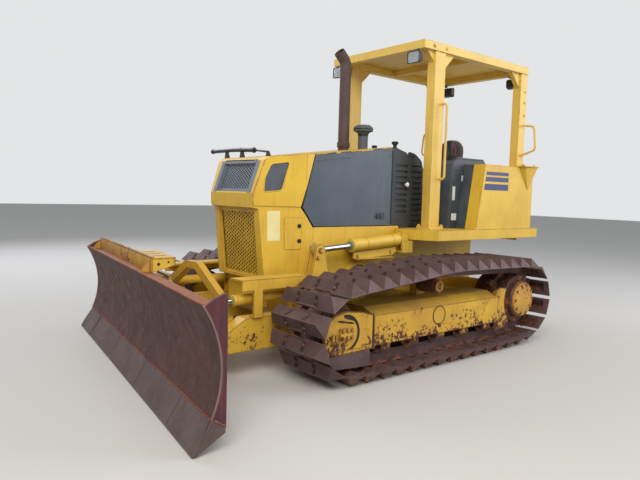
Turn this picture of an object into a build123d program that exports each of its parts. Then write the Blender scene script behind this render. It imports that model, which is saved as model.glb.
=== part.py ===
from build123d import *
from math import atan2, cos, degrees, hypot, pi, radians, sin, sqrt
import os

# A small low-ground-pressure bulldozer on steel tracks, with an open canopy and a power-angle-tilt blade.
# Millimetres. +X is forward, +Y is the machine's left, +Z is up. The origin is on the ground, on the
# centre plane, halfway along the machine.
os.makedirs("parts", exist_ok=True)

# Clearances
seat_gap = 0.3
pin_clearance = 0.5
running_gap = 6

# Tracks
track_centre_y = 946
shoe_width = 612
shoe_peak = 78
shoe_plate = 11
shoe_gap = 3
shoe_end_slope = 55
shoe_base_plate = 14
link_pitch = 156.5
link_seat = 42
link_below_pin = 38
link_rail_offset = 62
link_rail_width = 34
bushing_radius = 18
sprocket_x = -1410
sprocket_z = 415
sprocket_pockets = 11
idler_x = 768
idler_z = 365
idler_pin_radius = 244
carrier_x = -330
carrier_pin_z = 712
roller_first_x = 330
roller_spacing = 318
roller_count = 5
roller_radius = 75
carrier_radius = 62

# Track frames
frame_inner_y = 770
frame_outer_y = 1130
frame_rear_x = -1060
frame_front_x = 490
frame_bottom_z = 240
frame_top_z = 463
frame_crown = 45
frame_wall = 25
guard_front_x = 955

# Hull and engine frame
hull_rear_x = -1750
hull_front_x = 860
hull_half_width = 300
hull_bottom_z = 330
hull_top_z = 640
tub_half_width = 430
tub_wall = 15
tub_rear_x = -480
tub_front_x = 519
tub_top_z = 1065
crossbeam_x = -560
crossbeam_length = 200
crossbeam_bottom_z = 300
crossbeam_height = 180
axle_radius = 130

# Rear bolt pattern and drawbar
rear_bolt_z = 770
rear_bolt_spacing_y = 380
rear_bolt_spacing_z = 180
rear_bolt_radius = 11
rear_bolt_depth = 45
drawbar_z = 420
drawbar_thickness = 45
drawbar_length = 170
drawbar_bore_radius = 22
drawbar_bore_back = 110

# Nose and hood
nose_half_width = 330
nose_taper_x = 600
nose_wall = 12
grille_half_width = 259
grille_bottom_z = 660
grille_top_z = 1195
upper_grille_half_width = 240
hood_rear_x = -383
hood_rear_z = 1769
hood_front_x = 520
hood_front_z = 1655
hood_plate = 20
door_plate = 14
door_gap = 9
door_front_gap = 10

# Platform, fenders and rear body
platform_front_x = -501
platform_rear_x = -2140
platform_half_width = 832
platform_bottom_z = 951
platform_top_z = 1043
platform_plate = 18
platform_corner = 130
fender_setback = 2
fender_half_width = platform_half_width - fender_setback
fender_inner_y = 602
fender_top_z = 1655
tank_rear_x = -2196
tank_front_x = -1790
tank_half_width = 600
tank_top_z = 1665

# Canopy
post_front_x = -702
post_length = 141
post_width = 91
post_outer_y = 597
roof_front_x = -538
roof_rear_x = -2190
roof_half_width = 607
roof_top_z = 2713
roof_depth = 72
roof_plate = 8

# C-frame
trunnion_x = -250
trunnion_z = 430
trunnion_radius = 45
arm_inner_y = 480
arm_outer_y = 600
arm_bottom_z = 190
arm_top_z = 430
cframe_front_x = 1400
cross_member_length = 120

# Blade
blade_pivot_x = 1666
blade_pivot_z = 330
blade_angle = -8.8
blade_width = 3250
blade_reach = 262
edge_height = 180
edge_run = 104
blade_top_z = 770
blade_top_run = 56
blade_belly_run = 154
blade_belly_z = 490
blade_depth = 180
blade_plate = 16
blade_clear_z = 4

# Lift cylinders
lift_y = 565
lift_rear_x = -381
lift_rear_z = 956
lift_front_x = 584
lift_front_z = 895
lift_barrel_radius = 55
lift_barrel_length = 610
lift_rod_radius = 24
lift_eye_radius = 42
lift_eye_width = 50
lift_pin_radius = 18
lift_open_radius = 46
lift_open_bore = 34.5

# Angle cylinders
angle_rear_x = 740
angle_rear_y = 480
angle_z = 560
angle_front_y = 600
angle_barrel_radius = 38
angle_barrel_length = 604
angle_rod_radius = 20
angle_rod_length = 602
angle_eye_radius = 34
angle_eye_height = 40
angle_pin_radius = 17
angle_ball_radius = 28
angle_clevis_half = 104

# Tilt cylinder
tilt_z = 660
tilt_rear_y = -190
tilt_front_y = 230
tilt_barrel_radius = 38
tilt_barrel_length = 270
tilt_rod_radius = 18
tilt_rod_length = 260
tilt_eye_radius = 30
tilt_eye_width = 36
tilt_pin_radius = 14
tilt_open_bore = 16


def block(x0, x1, y0, y1, z0, z1, mode=Mode.ADD):
    """A box between two corners, added to the part being built."""
    with BuildSketch(Plane.XY.offset(z0)) as base:
        with Locations(((x0 + x1) / 2, (y0 + y1) / 2)):
            Rectangle(x1 - x0, y1 - y0)
    extrude(base.sketch, amount=z1 - z0, mode=mode)


def side_slab(points, y0, y1, mode=Mode.ADD):
    """A plate with its outline in the XZ plane, from y0 to y1."""
    with BuildSketch(Plane.XZ.offset(-y0)) as outline:
        Polygon(*points, align=None)
    extrude(outline.sketch, amount=-(y1 - y0), mode=mode)


def front_slab(points, x0, x1, mode=Mode.ADD):
    """A plate with its outline in the YZ plane, from x0 to x1."""
    with BuildSketch(Plane.YZ.offset(x0)) as outline:
        Polygon(*points, align=None)
    extrude(outline.sketch, amount=x1 - x0, mode=mode)


def flat_slab(points, z0, z1, mode=Mode.ADD):
    """A plate with its outline in the XY plane, from z0 to z1."""
    with BuildSketch(Plane.XY.offset(z0)) as outline:
        Polygon(*points, align=None)
    extrude(outline.sketch, amount=z1 - z0, mode=mode)


def rod(start, end, radius, mode=Mode.ADD):
    """A round bar between two points."""
    axis = Vector(*end) - Vector(*start)
    with BuildSketch(Plane(origin=start, z_dir=axis)) as section:
        Circle(radius)
    extrude(section.sketch, amount=axis.length, mode=mode)


def across(x, z, y0, y1, radius, mode=Mode.ADD):
    """A round bar across the machine, from y0 to y1."""
    rod((x, y0, z), (x, y1, z), radius, mode)


def save(part, name):
    """Labels a finished piece and writes it."""
    part.label = name
    export_step(part, "parts/" + name + ".step")


def save_both(part, name):
    """Writes a piece of the left side and its mirror image as one node of two bodies."""
    with BuildPart() as both:
        add(part)
        mirror(about=Plane.XZ)
    save(both.part, name)


def save_pair(part, name):
    """Writes a piece of the left side and its mirror image on the right."""
    save(part, name + "_left")
    save(mirror(part, about=Plane.XZ), name + "_right")


# The path of the track's pins, as a closed list of (x, z), starting at the rearmost point.
sprocket_pin_radius = sprocket_pockets * link_pitch / (2 * pi)
ground_pin_z = link_seat + shoe_peak


def arc_points(centre_x, centre_z, radius, start_deg, end_deg, steps=48):
    """Points along an arc, with the angles measured from +X towards +Z."""
    angles = [radians(start_deg + (end_deg - start_deg) * i / steps) for i in range(steps + 1)]
    return [(centre_x + radius * cos(a), centre_z + radius * sin(a)) for a in angles]


def track_pins():
    """The pins of one track, evenly spaced along its loop."""
    path = arc_points(sprocket_x, sprocket_z, sprocket_pin_radius, 180, 90)
    path.append((carrier_x, carrier_pin_z))
    path += arc_points(idler_x, idler_z, idler_pin_radius, 84, -90)
    path.append((frame_front_x, ground_pin_z))
    path.append((roller_first_x - (roller_count - 1) * roller_spacing - link_pitch, ground_pin_z))
    path += arc_points(sprocket_x, sprocket_z, sprocket_pin_radius, 270, 180)
    lengths = [hypot(b[0] - a[0], b[1] - a[1]) for a, b in zip(path, path[1:])]
    count = round(sum(lengths) / link_pitch)
    step = sum(lengths) / count
    pins = []
    for number in range(count):
        left = number * step
        index = 0
        while left > lengths[index]:
            left -= lengths[index]
            index += 1
        share = left / lengths[index]
        start, end = path[index], path[index + 1]
        pins.append((start[0] + (end[0] - start[0]) * share, start[1] + (end[1] - start[1]) * share))
    return pins


def chord_frames(pins):
    """For each link: its middle, its direction and its outward normal."""
    frames = []
    for (x0, z0), (x1, z1) in zip(pins, pins[1:] + pins[:1]):
        length = hypot(x1 - x0, z1 - z0)
        along = ((x1 - x0) / length, (z1 - z0) / length)
        frames.append((((x0 + x1) / 2, (z0 + z1) / 2), along, (-along[1], along[0]), length))
    return frames


def offset_loop(pins, frames, distance):
    """The loop of the pins moved outward by a distance, with mitred corners."""
    loop = []
    for index, (x, z) in enumerate(pins):
        before, after = frames[index - 1][2], frames[index][2]
        bisector = (before[0] + after[0], before[1] + after[1])
        size = bisector[0] ** 2 + bisector[1] ** 2
        scale = 2 * distance / size
        loop.append((x + bisector[0] * scale, z + bisector[1] * scale))
    return loop


def make_shoe(length):
    """One triangular swamp shoe, ridge up, with its ends sloped and its underside open."""
    half = length / 2 - shoe_gap
    wide = shoe_width / 2
    slope = hypot(half, shoe_peak)
    inner_half = half - shoe_plate * slope / shoe_peak
    inner_peak = shoe_peak - shoe_plate * slope / half
    with BuildPart() as shoe:
        with BuildSketch(Plane.XZ) as ridge:
            Polygon((-half, 0), (half, 0), (0, shoe_peak), align=None)
        extrude(amount=wide, both=True)
        with BuildSketch(Plane.YZ) as ends:
            with Locations((0, 0)):
                Polygon((wide, 0), (wide - shoe_end_slope, shoe_peak), (wide, shoe_peak), align=None)
                Polygon((-wide, 0), (-wide, shoe_peak), (-wide + shoe_end_slope, shoe_peak), align=None)
        extrude(amount=length, both=True, mode=Mode.SUBTRACT)
        with BuildSketch(Plane.XZ) as pocket:
            Polygon((-inner_half, 0), (inner_half, 0), (0, inner_peak), align=None)
        extrude(amount=wide - shoe_end_slope, both=True, mode=Mode.SUBTRACT)
        with BuildSketch() as foot:
            Rectangle(2 * half - 2, 2 * (link_rail_offset + link_rail_width))
        extrude(amount=shoe_base_plate)
    return shoe.part


def make_track():
    """The left track: link rails, bushings and shoes as one loop."""
    pins = track_pins()
    frames = chord_frames(pins)
    shoe = make_shoe(frames[0][3])
    outer = offset_loop(pins, frames, link_seat)
    inner = offset_loop(pins, frames, -link_below_pin)
    places = [
        Plane(origin=(mid[0] + n[0] * link_seat, track_centre_y, mid[1] + n[1] * link_seat), x_dir=(a[0], 0, a[1]), z_dir=(n[0], 0, n[1]))
        for mid, a, n, _ in frames
    ]
    with BuildPart() as track:
        for side in (-1, 1):
            near = track_centre_y + side * link_rail_offset - link_rail_width / 2
            with BuildSketch(Plane.XZ.offset(-near)) as rail:
                Polygon(*outer, align=None)
                Polygon(*inner, align=None, mode=Mode.SUBTRACT)
            extrude(rail.sketch, amount=-link_rail_width)
        gauge = link_rail_offset - link_rail_width / 2
        with BuildSketch(Plane.XZ.offset(-(track_centre_y - gauge))) as bushings:
            with Locations(*pins):
                RegularPolygon(bushing_radius, 6)
        extrude(bushings.sketch, amount=-2 * gauge)
        with Locations(*[place.location for place in places]):
            add(shoe)
    return track.part


save_pair(make_track(), "track")


def make_track_frame():
    """The left track frame: an open-bottomed box beam with roller saddles and an idler fork."""
    crown_z = frame_top_z + frame_crown
    with BuildPart() as frame:
        front_slab(
            [
                (frame_inner_y, frame_bottom_z),
                (frame_outer_y, frame_bottom_z),
                (frame_outer_y, frame_top_z),
                (frame_outer_y - 120, crown_z),
                (frame_inner_y, crown_z),
            ],
            frame_rear_x,
            frame_front_x,
        )
        block(
            frame_rear_x + frame_wall,
            frame_front_x - frame_wall,
            frame_inner_y + frame_wall,
            frame_outer_y - frame_wall,
            frame_bottom_z,
            frame_top_z - frame_wall,
            mode=Mode.SUBTRACT,
        )
        # Saddles that hold the ends of each roller's shaft
        for number in range(roller_count):
            x = roller_first_x - number * roller_spacing
            block(x - 52, x + 52, frame_inner_y + frame_wall, roller_inner_y - seat_gap, roller_low_z, frame_top_z - frame_wall)
            block(x - 52, x + 52, roller_outer_y + seat_gap, frame_outer_y - frame_wall, roller_low_z, frame_top_z - frame_wall)
        # Idler fork
        fork = [
            (frame_front_x - 20, 222),
            (guard_front_x - 30, 222),
            (guard_front_x, 270),
            (guard_front_x, 430),
            (guard_front_x - 90, 500),
            (760, 520),
            (600, 500),
            (frame_front_x - 20, frame_top_z),
        ]
        side_slab(fork, frame_outer_y - 28, frame_outer_y)
        side_slab(fork, frame_inner_y, frame_inner_y + 28)
        # Worn skid plate under the fork
        skid = [
            (frame_front_x + 30, 222),
            (guard_front_x - 25, 222),
            (guard_front_x - 60, 150),
            (850, 118),
            (560, 100),
            (frame_front_x + 30, 130),
        ]
        side_slab(skid, frame_outer_y - 26, frame_outer_y - 4)
        # Carrier roller bracket
        block(carrier_x - 55, carrier_x + 55, frame_inner_y + 10, track_centre_y - 95, frame_top_z, carrier_z + 40)
        # Guard at the rear end, ahead of the sprocket
        side_slab(
            [
                (frame_rear_x, 200),
                (frame_rear_x, 500),
                (frame_rear_x - 45, 520),
                (frame_rear_x - 25, 415),
                (frame_rear_x - 60, 240),
            ],
            frame_outer_y - 60,
            frame_outer_y - 6,
        )
    return frame.part


def make_rollers():
    """The five track rollers and the carrier roller of the left side."""
    with BuildPart() as rollers:
        for number in range(roller_count):
            x = roller_first_x - number * roller_spacing
            across(x, roller_z, roller_inner_y, roller_outer_y, roller_radius)
            for y0, y1 in ((roller_inner_y, rail_inner_y - 3), (rail_outer_y + 3, roller_outer_y)):
                across(x, roller_z, y0, y1, roller_radius + 14)
        across(carrier_x, carrier_z, track_centre_y - 95 + seat_gap, rail_outer_y + 8, carrier_radius)
        across(carrier_x, carrier_z, rail_outer_y + 8, rail_outer_y + 20, 34)
    return rollers.part


def make_idler():
    """The left front idler with its centre flange and bearing blocks."""
    with BuildPart() as idler:
        across(idler_x, idler_z, track_centre_y - 88, track_centre_y + 88, idler_tread_radius)
        for side in (-1, 1):
            inner = track_centre_y + side * 40
            outer = track_centre_y + side * 88
            with BuildSketch(Plane.XZ.offset(-min(inner, outer))) as dish:
                with Locations((idler_x, idler_z)):
                    Circle(idler_tread_radius - 28)
                    Circle(70, mode=Mode.SUBTRACT)
            extrude(dish.sketch, amount=-40, mode=Mode.SUBTRACT)
        across(idler_x, idler_z, track_centre_y - 38, track_centre_y + 38, idler_tread_radius + 22)
        across(idler_x, idler_z, frame_inner_y + 28 + seat_gap, frame_outer_y - 28 - seat_gap, 48)
        for y0, y1 in (
            (frame_inner_y + 28 + seat_gap, track_centre_y - 92),
            (track_centre_y + 92, frame_outer_y - 28 - seat_gap),
        ):
            block(idler_x - 75, idler_x + 75, y0, y1, idler_z - 60, idler_z + 60)
    return idler.part


def make_sprocket():
    """The left sprocket, final drive drum and hub."""
    pitch_angle = 360 / sprocket_pockets
    tooth_tip = sprocket_pin_radius + 14
    tooth_root = sprocket_pin_radius - bushing_radius - 8
    with BuildPart() as sprocket:
        with BuildSketch(Plane.XZ.offset(-(track_centre_y - 24))) as ring:
            with Locations((sprocket_x, sprocket_z)):
                Circle(tooth_root)
            with Locations((sprocket_x, sprocket_z)):
                with PolarLocations(tooth_root - 6, sprocket_pockets, start_angle=180 + pitch_angle / 2):
                    Trapezoid(78, tooth_tip - tooth_root + 6, 68, rotation=-90, align=(Align.CENTER, Align.MIN))
        extrude(ring.sketch, amount=-48)
        across(sprocket_x, sprocket_z, frame_inner_y + seat_gap, drum_outer_y, drum_radius)
        across(sprocket_x, sprocket_z, drum_outer_y, hub_outer_y, hub_radius)
    with BuildPart() as edge:
        add(sprocket.part)
        chamfer(edge.edges().filter_by(GeomType.CIRCLE).group_by(Axis.Y)[-1], 10)
    return edge.part


roller_z = ground_pin_z + link_below_pin + roller_radius + seat_gap
roller_low_z = roller_z - 45
rail_inner_y = track_centre_y - link_rail_offset - link_rail_width / 2
rail_outer_y = track_centre_y + link_rail_offset + link_rail_width / 2
roller_inner_y = rail_inner_y - 20
roller_outer_y = rail_outer_y + 20
carrier_z = carrier_pin_z - link_below_pin - carrier_radius - 9
idler_tread_radius = sqrt(idler_pin_radius ** 2 - (link_pitch / 2) ** 2) - link_below_pin - 1
drum_radius = 212
drum_outer_y = 1095
hub_radius = 172
hub_outer_y = 1148


def make_main_frame():
    """The hull, the engine tub above it, the axle housings and the brackets that carry the cylinders."""
    with BuildPart() as hull:
        hull_side = [
            (hull_rear_x, hull_bottom_z + 120),
            (hull_rear_x + 110, hull_bottom_z),
            (hull_front_x - 90, hull_bottom_z),
            (hull_front_x, hull_bottom_z + 90),
            (hull_front_x, hull_top_z),
            (hull_rear_x, hull_top_z),
        ]
        side_slab(hull_side, -hull_half_width, hull_half_width)
        # Rear case under the floor
        block(hull_rear_x, -900, -hull_half_width, hull_half_width, hull_top_z, platform_bottom_z)
        # Engine tub
        block(tub_rear_x, tub_front_x, -tub_half_width, tub_half_width, hull_top_z, tub_top_z)
        block(
            tub_rear_x + tub_wall,
            tub_front_x,
            -tub_half_width + tub_wall,
            tub_half_width - tub_wall,
            hull_top_z + tub_wall,
            tub_top_z,
            mode=Mode.SUBTRACT,
        )
        block(-900, tub_rear_x, -hull_half_width, hull_half_width, hull_top_z, platform_bottom_z)
        # Threaded holes for a winch or a ripper on the rear case
        with BuildSketch(Plane.YZ.offset(hull_rear_x)) as holes:
            with Locations((0, rear_bolt_z)):
                with GridLocations(rear_bolt_spacing_y, rear_bolt_spacing_z, 2, 2):
                    Circle(rear_bolt_radius)
        extrude(holes.sketch, amount=rear_bolt_depth, mode=Mode.SUBTRACT)
        # Cross beam and axle housings out to the track frames
        block(
            crossbeam_x - crossbeam_length / 2,
            crossbeam_x + crossbeam_length / 2,
            -frame_inner_y,
            frame_inner_y,
            crossbeam_bottom_z,
            crossbeam_bottom_z + crossbeam_height,
        )
        across(sprocket_x, sprocket_z, -frame_inner_y, frame_inner_y, axle_radius)
        block(sprocket_x + 150, frame_rear_x + 120, hull_half_width, frame_inner_y, 290, 450)
        block(sprocket_x + 150, frame_rear_x + 120, -frame_inner_y, -hull_half_width, 290, 450)
        for side in (-1, 1):
            # Trunnion pins for the C-frame
            across(trunnion_x, trunnion_z, min(side * hull_half_width, side * (arm_outer_y + 20)), max(side * hull_half_width, side * (arm_outer_y + 20)), trunnion_radius)
            # Bracket of the lift cylinder's rear pin
            for y in (lift_y - lift_eye_width / 2 - 20, lift_y + lift_eye_width / 2 + 2):
                near, far = sorted((side * y, side * (y + 18)))
                side_slab(
                    [
                        (lift_rear_x - 60, lift_rear_z - 100),
                        (lift_rear_x + 30, lift_rear_z - 100),
                        (lift_rear_x + 45, lift_rear_z + 10),
                        (lift_rear_x + 15, lift_rear_z + 52),
                        (lift_rear_x - 36, lift_rear_z + 52),
                        (lift_rear_x - 36, lift_rear_z - 14),
                        (lift_rear_x - 60, lift_rear_z - 14),
                    ],
                    near,
                    far,
                )
            near, far = sorted((side * (tub_half_width - 5), side * (lift_y + 47)))
            block(tub_rear_x, lift_rear_x - 56, near, far, lift_rear_z - 100, lift_rear_z - 14)
            block(tub_rear_x, lift_rear_x + 30, near, far, lift_rear_z - 118, lift_rear_z - 100)
            # Shelf below the cylinder, on the side of the frame
            near, far = sorted((side * tub_half_width, side * (tub_half_width + 62)))
            side_slab([(-140, 905), (165, 930), (175, 880), (150, 858), (-140, 838)], near, far)
            # Arched guard over the track
            with BuildSketch(Plane.XZ.offset(-near)) as arch:
                with Locations((60, 640)):
                    Circle(125)
                    Circle(105, mode=Mode.SUBTRACT)
                    with Locations((0, -125)):
                        Rectangle(260, 250, mode=Mode.SUBTRACT)
            extrude(arch.sketch, amount=-(far - near))
            across(lift_rear_x, lift_rear_z, *sorted((side * (lift_y - 50), side * (lift_y + 50))), lift_pin_radius)
    return hull.part


def make_drawbar():
    """The drawbar tongue on its plate, with an upright bore for a towing pin."""
    with BuildPart() as drawbar:
        block(hull_rear_x - 25, hull_rear_x, -130, 130, drawbar_z + 32 - 120, drawbar_z + 120)
        flat_slab(
            [
                (hull_rear_x - 20, -95),
                (hull_rear_x - drawbar_length + 30, -62),
                (hull_rear_x - drawbar_length, -30),
                (hull_rear_x - drawbar_length, 30),
                (hull_rear_x - drawbar_length + 30, 62),
                (hull_rear_x - 20, 95),
            ],
            drawbar_z,
            drawbar_z + drawbar_thickness,
        )
        bore_x = hull_rear_x - drawbar_bore_back
        rod((bore_x, 0, drawbar_z - 1), (bore_x, 0, drawbar_z + drawbar_thickness + 1), drawbar_bore_radius, mode=Mode.SUBTRACT)
    return drawbar.part


def make_engine():
    """The engine as one plain block on the floor of the tub."""
    with BuildPart() as engine:
        block(-330, 420, -230, 230, hull_top_z + tub_wall, 1400)
    return engine.part


def hood_height(x):
    """The height of the hood's top surface at x."""
    return hood_front_z + (hood_front_x - x) * (hood_rear_z - hood_front_z) / (hood_front_x - hood_rear_x)


nose_profile = [
    (tub_front_x + seat_gap, hull_top_z + seat_gap),
    (928, hull_top_z + seat_gap),
    (986, 1206),
    (1026, 1214),
    (1032, 1325),
    (942, 1585),
    (905, 1612),
    (hood_front_x + seat_gap, hood_front_z),
    (hood_front_x + 4 + 120, 1223),
    (tub_front_x + seat_gap, tub_top_z - 8),
]
nose_inside = [
    (tub_front_x - 20, hull_top_z + 14),
    (917, hull_top_z + 14),
    (975, 1215),
    (1014, 1225),
    (1019, 1323),
    (932, 1577),
    (900, 1600),
    (hood_front_x - 5, hood_front_z - 13),
    (tub_front_x - 20, hood_front_z - 11),
]


def nose_sides(margin):
    """The plan regions cut away outside the tapered sides of the nose."""
    for side in (-1, 1):
        yield [
            (nose_taper_x, side * (tub_half_width - margin)),
            (985, side * (nose_half_width - margin)),
            (1100, side * (nose_half_width - margin - 30)),
            (1100, side * 600),
            (nose_taper_x, side * 600),
        ]


def make_nose():
    """The nose shell, tapered in plan, with openings for its grilles and side windows."""
    with BuildPart() as core:
        side_slab(nose_inside, -tub_half_width + nose_wall, tub_half_width - nose_wall)
        for region in nose_sides(nose_wall):
            flat_slab(region, 600, 1700, mode=Mode.SUBTRACT)
    with BuildPart() as nose:
        side_slab(nose_profile, -tub_half_width, tub_half_width)
        for region in nose_sides(0):
            flat_slab(region, 600, 1700, mode=Mode.SUBTRACT)
        add(core.part, mode=Mode.SUBTRACT)
        # Lower and upper grille openings
        block(880, 1060, -grille_half_width, grille_half_width, grille_bottom_z, grille_top_z, mode=Mode.SUBTRACT)
        side_slab(upper_opening, -upper_grille_half_width, upper_grille_half_width, mode=Mode.SUBTRACT)
        # Side windows
        side_slab([(700, 1368), (925, 1346), (890, 1562), (760, 1570)], -500, 500, mode=Mode.SUBTRACT)
    return nose.part


upper_opening = [(1060, 1336), (965, 1336), (880, 1560), (900, 1588), (1000, 1588)]


def make_grilles():
    """The perforated lower grille and the darker mesh of the upper grille and side windows."""
    with BuildPart() as lower:
        side_slab(
            [(907.7, grille_bottom_z - 5), (916.7, grille_bottom_z - 5), (972.7, grille_top_z + 8), (963.7, grille_top_z + 8)],
            -grille_half_width - 14,
            grille_half_width + 14,
        )
    with BuildPart() as upper:
        side_slab([(1005.3, 1328), (1014.3, 1328), (926.3, 1580), (917.3, 1580)], -upper_grille_half_width - 12, upper_grille_half_width + 12)
        # Screens behind the side windows, along the tapered sides
        for side in (-1, 1):
            slope_x = 985 - nose_taper_x
            slope_y = side * (tub_half_width - nose_half_width)
            with BuildSketch(Plane.XY.offset(1335)) as screen:
                with BuildLine():
                    Polyline(
                        *[
                            (nose_taper_x + slope_x * share, side * (tub_half_width - depth) - slope_y * share)
                            for share, depth in ((0.18, nose_wall + 1), (0.80, nose_wall + 1), (0.80, nose_wall + 7), (0.18, nose_wall + 7))
                        ],
                        close=True,
                    )
                make_face()
            extrude(screen.sketch, amount=245)
    return lower.part, upper.part


save_pair(make_track_frame(), "track_frame")
save_both(make_rollers(), "track_rollers")
save_both(make_idler(), "idlers")
save_both(make_sprocket(), "sprockets")
save(make_main_frame(), "main_frame")
save(make_drawbar(), "drawbar")
save(make_engine(), "engine_block")
save(make_nose(), "nose_shell")


hinge_radius = 4.5
hinge_y = tub_half_width - door_plate - door_gap + hinge_radius - 0.3
hinge_drop = 8
hinge_pins = ((-370, -250), (0, 120), (380, 500))
hinge_knuckles = ((-250, -150), (120, 220), (280, 380))


def hinge_point(x, side):
    """A point on the hinge line of a door, just below the hood's top surface."""
    return (x, side * hinge_y, hood_height(x) - hinge_drop)


def make_hood_top():
    """The hood's top plate between the engine doors, with holes for the stack and the air cleaner."""
    with BuildPart() as top:
        half = tub_half_width - door_plate - door_gap
        side_slab(
            [
                (hood_rear_x, hood_rear_z),
                (hood_front_x, hood_front_z),
                (hood_front_x, hood_front_z - hood_plate),
                (hood_rear_x, hood_rear_z - hood_plate),
            ],
            -half,
            half,
        )
        for x, y, radius in ((stack_x, stack_y, stack_radius), (cleaner_x, cleaner_y, cleaner_tube_radius)):
            with BuildSketch(Plane.XY.offset(1500)) as hole:
                with Locations((x, y)):
                    Circle(radius + seat_gap)
            extrude(hole.sketch, amount=400, mode=Mode.SUBTRACT)
        # Hinge pins of the engine doors, in three lengths on each edge
        for side in (-1, 1):
            for start, end in hinge_pins:
                rod(hinge_point(start, side), hinge_point(end, side), hinge_radius)
    return top.part


stack_x = -230
stack_y = -80
stack_radius = 52
stack_top_z = 2680
cleaner_x = -330
cleaner_y = 80
cleaner_tube_radius = 46
cleaner_cap_radius = 90


def make_door():
    """The left engine door: a flat panel with a pointed front edge, a top groove and a latch recess."""
    with BuildPart() as door:
        rear = hood_rear_x + running_gap
        drop = hinge_drop + running_gap
        side_slab(
            [
                (hood_front_x - door_front_gap, hood_height(hood_front_x - door_front_gap) - drop),
                (hood_front_x + 118 - door_front_gap, 1223),
                (tub_front_x - 8, tub_top_z + running_gap),
                (rear, tub_top_z + running_gap),
                (rear, hood_height(rear) - drop),
            ],
            tub_half_width - door_plate,
            tub_half_width,
        )
        side_slab([(480, 1604), (150, 1646), (150, 1630), (480, 1588)], tub_half_width - 4, tub_half_width + 1, mode=Mode.SUBTRACT)
        block(-290, -170, tub_half_width - 6, tub_half_width + 1, 1120, 1180, mode=Mode.SUBTRACT)
        # Knuckles on the hinge line, each on a web from the door's top edge
        for start, end in hinge_knuckles:
            near, far = start + seat_gap, end - seat_gap
            low = hood_height(far) - hinge_drop
            rod(hinge_point(near, 1), hinge_point(far, 1), hinge_radius - 0.6)
            front_slab(
                [
                    (hinge_y - 2, low),
                    (hinge_y + 3, low),
                    (tub_half_width - door_plate + 3, low - 16),
                    (tub_half_width - door_plate + 3, low - 26),
                    (hinge_y - 2, low - 9),
                ],
                near + 5,
                far - 5,
            )
    return door.part


def make_stack():
    """The exhaust stack, bent forward and cut open at its mouth."""
    base_z = hood_height(stack_x) - hood_plate - 90
    with BuildPart() as stack:
        with BuildLine() as route:
            FilletPolyline(
                (stack_x, stack_y, base_z),
                (stack_x, stack_y, stack_top_z - 120),
                (stack_x + 85, stack_y, stack_top_z - 40),
                radius=110,
            )
        with BuildSketch(Plane(origin=(stack_x, stack_y, base_z), z_dir=(0, 0, 1))):
            Circle(stack_radius)
        sweep(path=route.wires()[0])
        with BuildSketch(Plane.XY.offset(hood_height(stack_x) + 25)) as clamp:
            with Locations((stack_x, stack_y)):
                Circle(stack_radius + 8)
        extrude(clamp.sketch, amount=45)
    with BuildPart() as hollow:
        add(stack.part)
        mouth = hollow.faces().filter_by(GeomType.PLANE).sort_by(Axis.Z)[-1]
        offset(amount=-5, openings=[mouth])
    return hollow.part


def make_cleaner():
    """The air pre-cleaner: a tube through the hood with a mushroom cap."""
    base_z = hood_height(cleaner_x) - hood_plate - 60
    top_z = 1985
    with BuildPart() as cleaner:
        with BuildSketch(Plane.XZ.offset(-cleaner_y)):
            with BuildLine():
                Polyline(
                    (cleaner_x, base_z),
                    (cleaner_x + cleaner_tube_radius, base_z),
                    (cleaner_x + cleaner_tube_radius, top_z - 90),
                    (cleaner_x + 62, top_z - 72),
                    (cleaner_x + cleaner_cap_radius, top_z - 62),
                    (cleaner_x + cleaner_cap_radius, top_z - 28),
                )
                Polyline(
                    (cleaner_x + cleaner_cap_radius, top_z - 28),
                    (cleaner_x + 62, top_z - 6),
                    (cleaner_x, top_z),
                    (cleaner_x, base_z),
                )
            make_face()
        revolve(axis=Axis((cleaner_x, cleaner_y, 0), (0, 0, 1)))
    return cleaner.part


def make_dash():
    """The dark cowl between the hood and the operator's space, with louvres on both sides."""
    with BuildPart() as dash:
        half = tub_half_width - 8
        side_slab(
            [
                (hood_rear_x - seat_gap, tub_top_z + running_gap),
                (hood_rear_x - seat_gap, hood_rear_z - 8),
                (-430, hood_rear_z - 4),
                (-560, 1730),
                (-640, 1660),
                (-620, platform_top_z),
                (tub_rear_x - 22, platform_top_z),
                (tub_rear_x - 22, tub_top_z + running_gap),
            ],
            -half,
            half,
        )
        for level in range(9):
            z = 1180 + level * 52
            for y0, y1 in ((-half - 1, -half + 14), (half - 14, half + 1)):
                block(-580, -430, y0, y1, z, z + 22, mode=Mode.SUBTRACT)
        # Foot well in front of the seat
        block(-660, -520, -300, 300, platform_top_z - 1, 1450, mode=Mode.SUBTRACT)
    return dash.part


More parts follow.
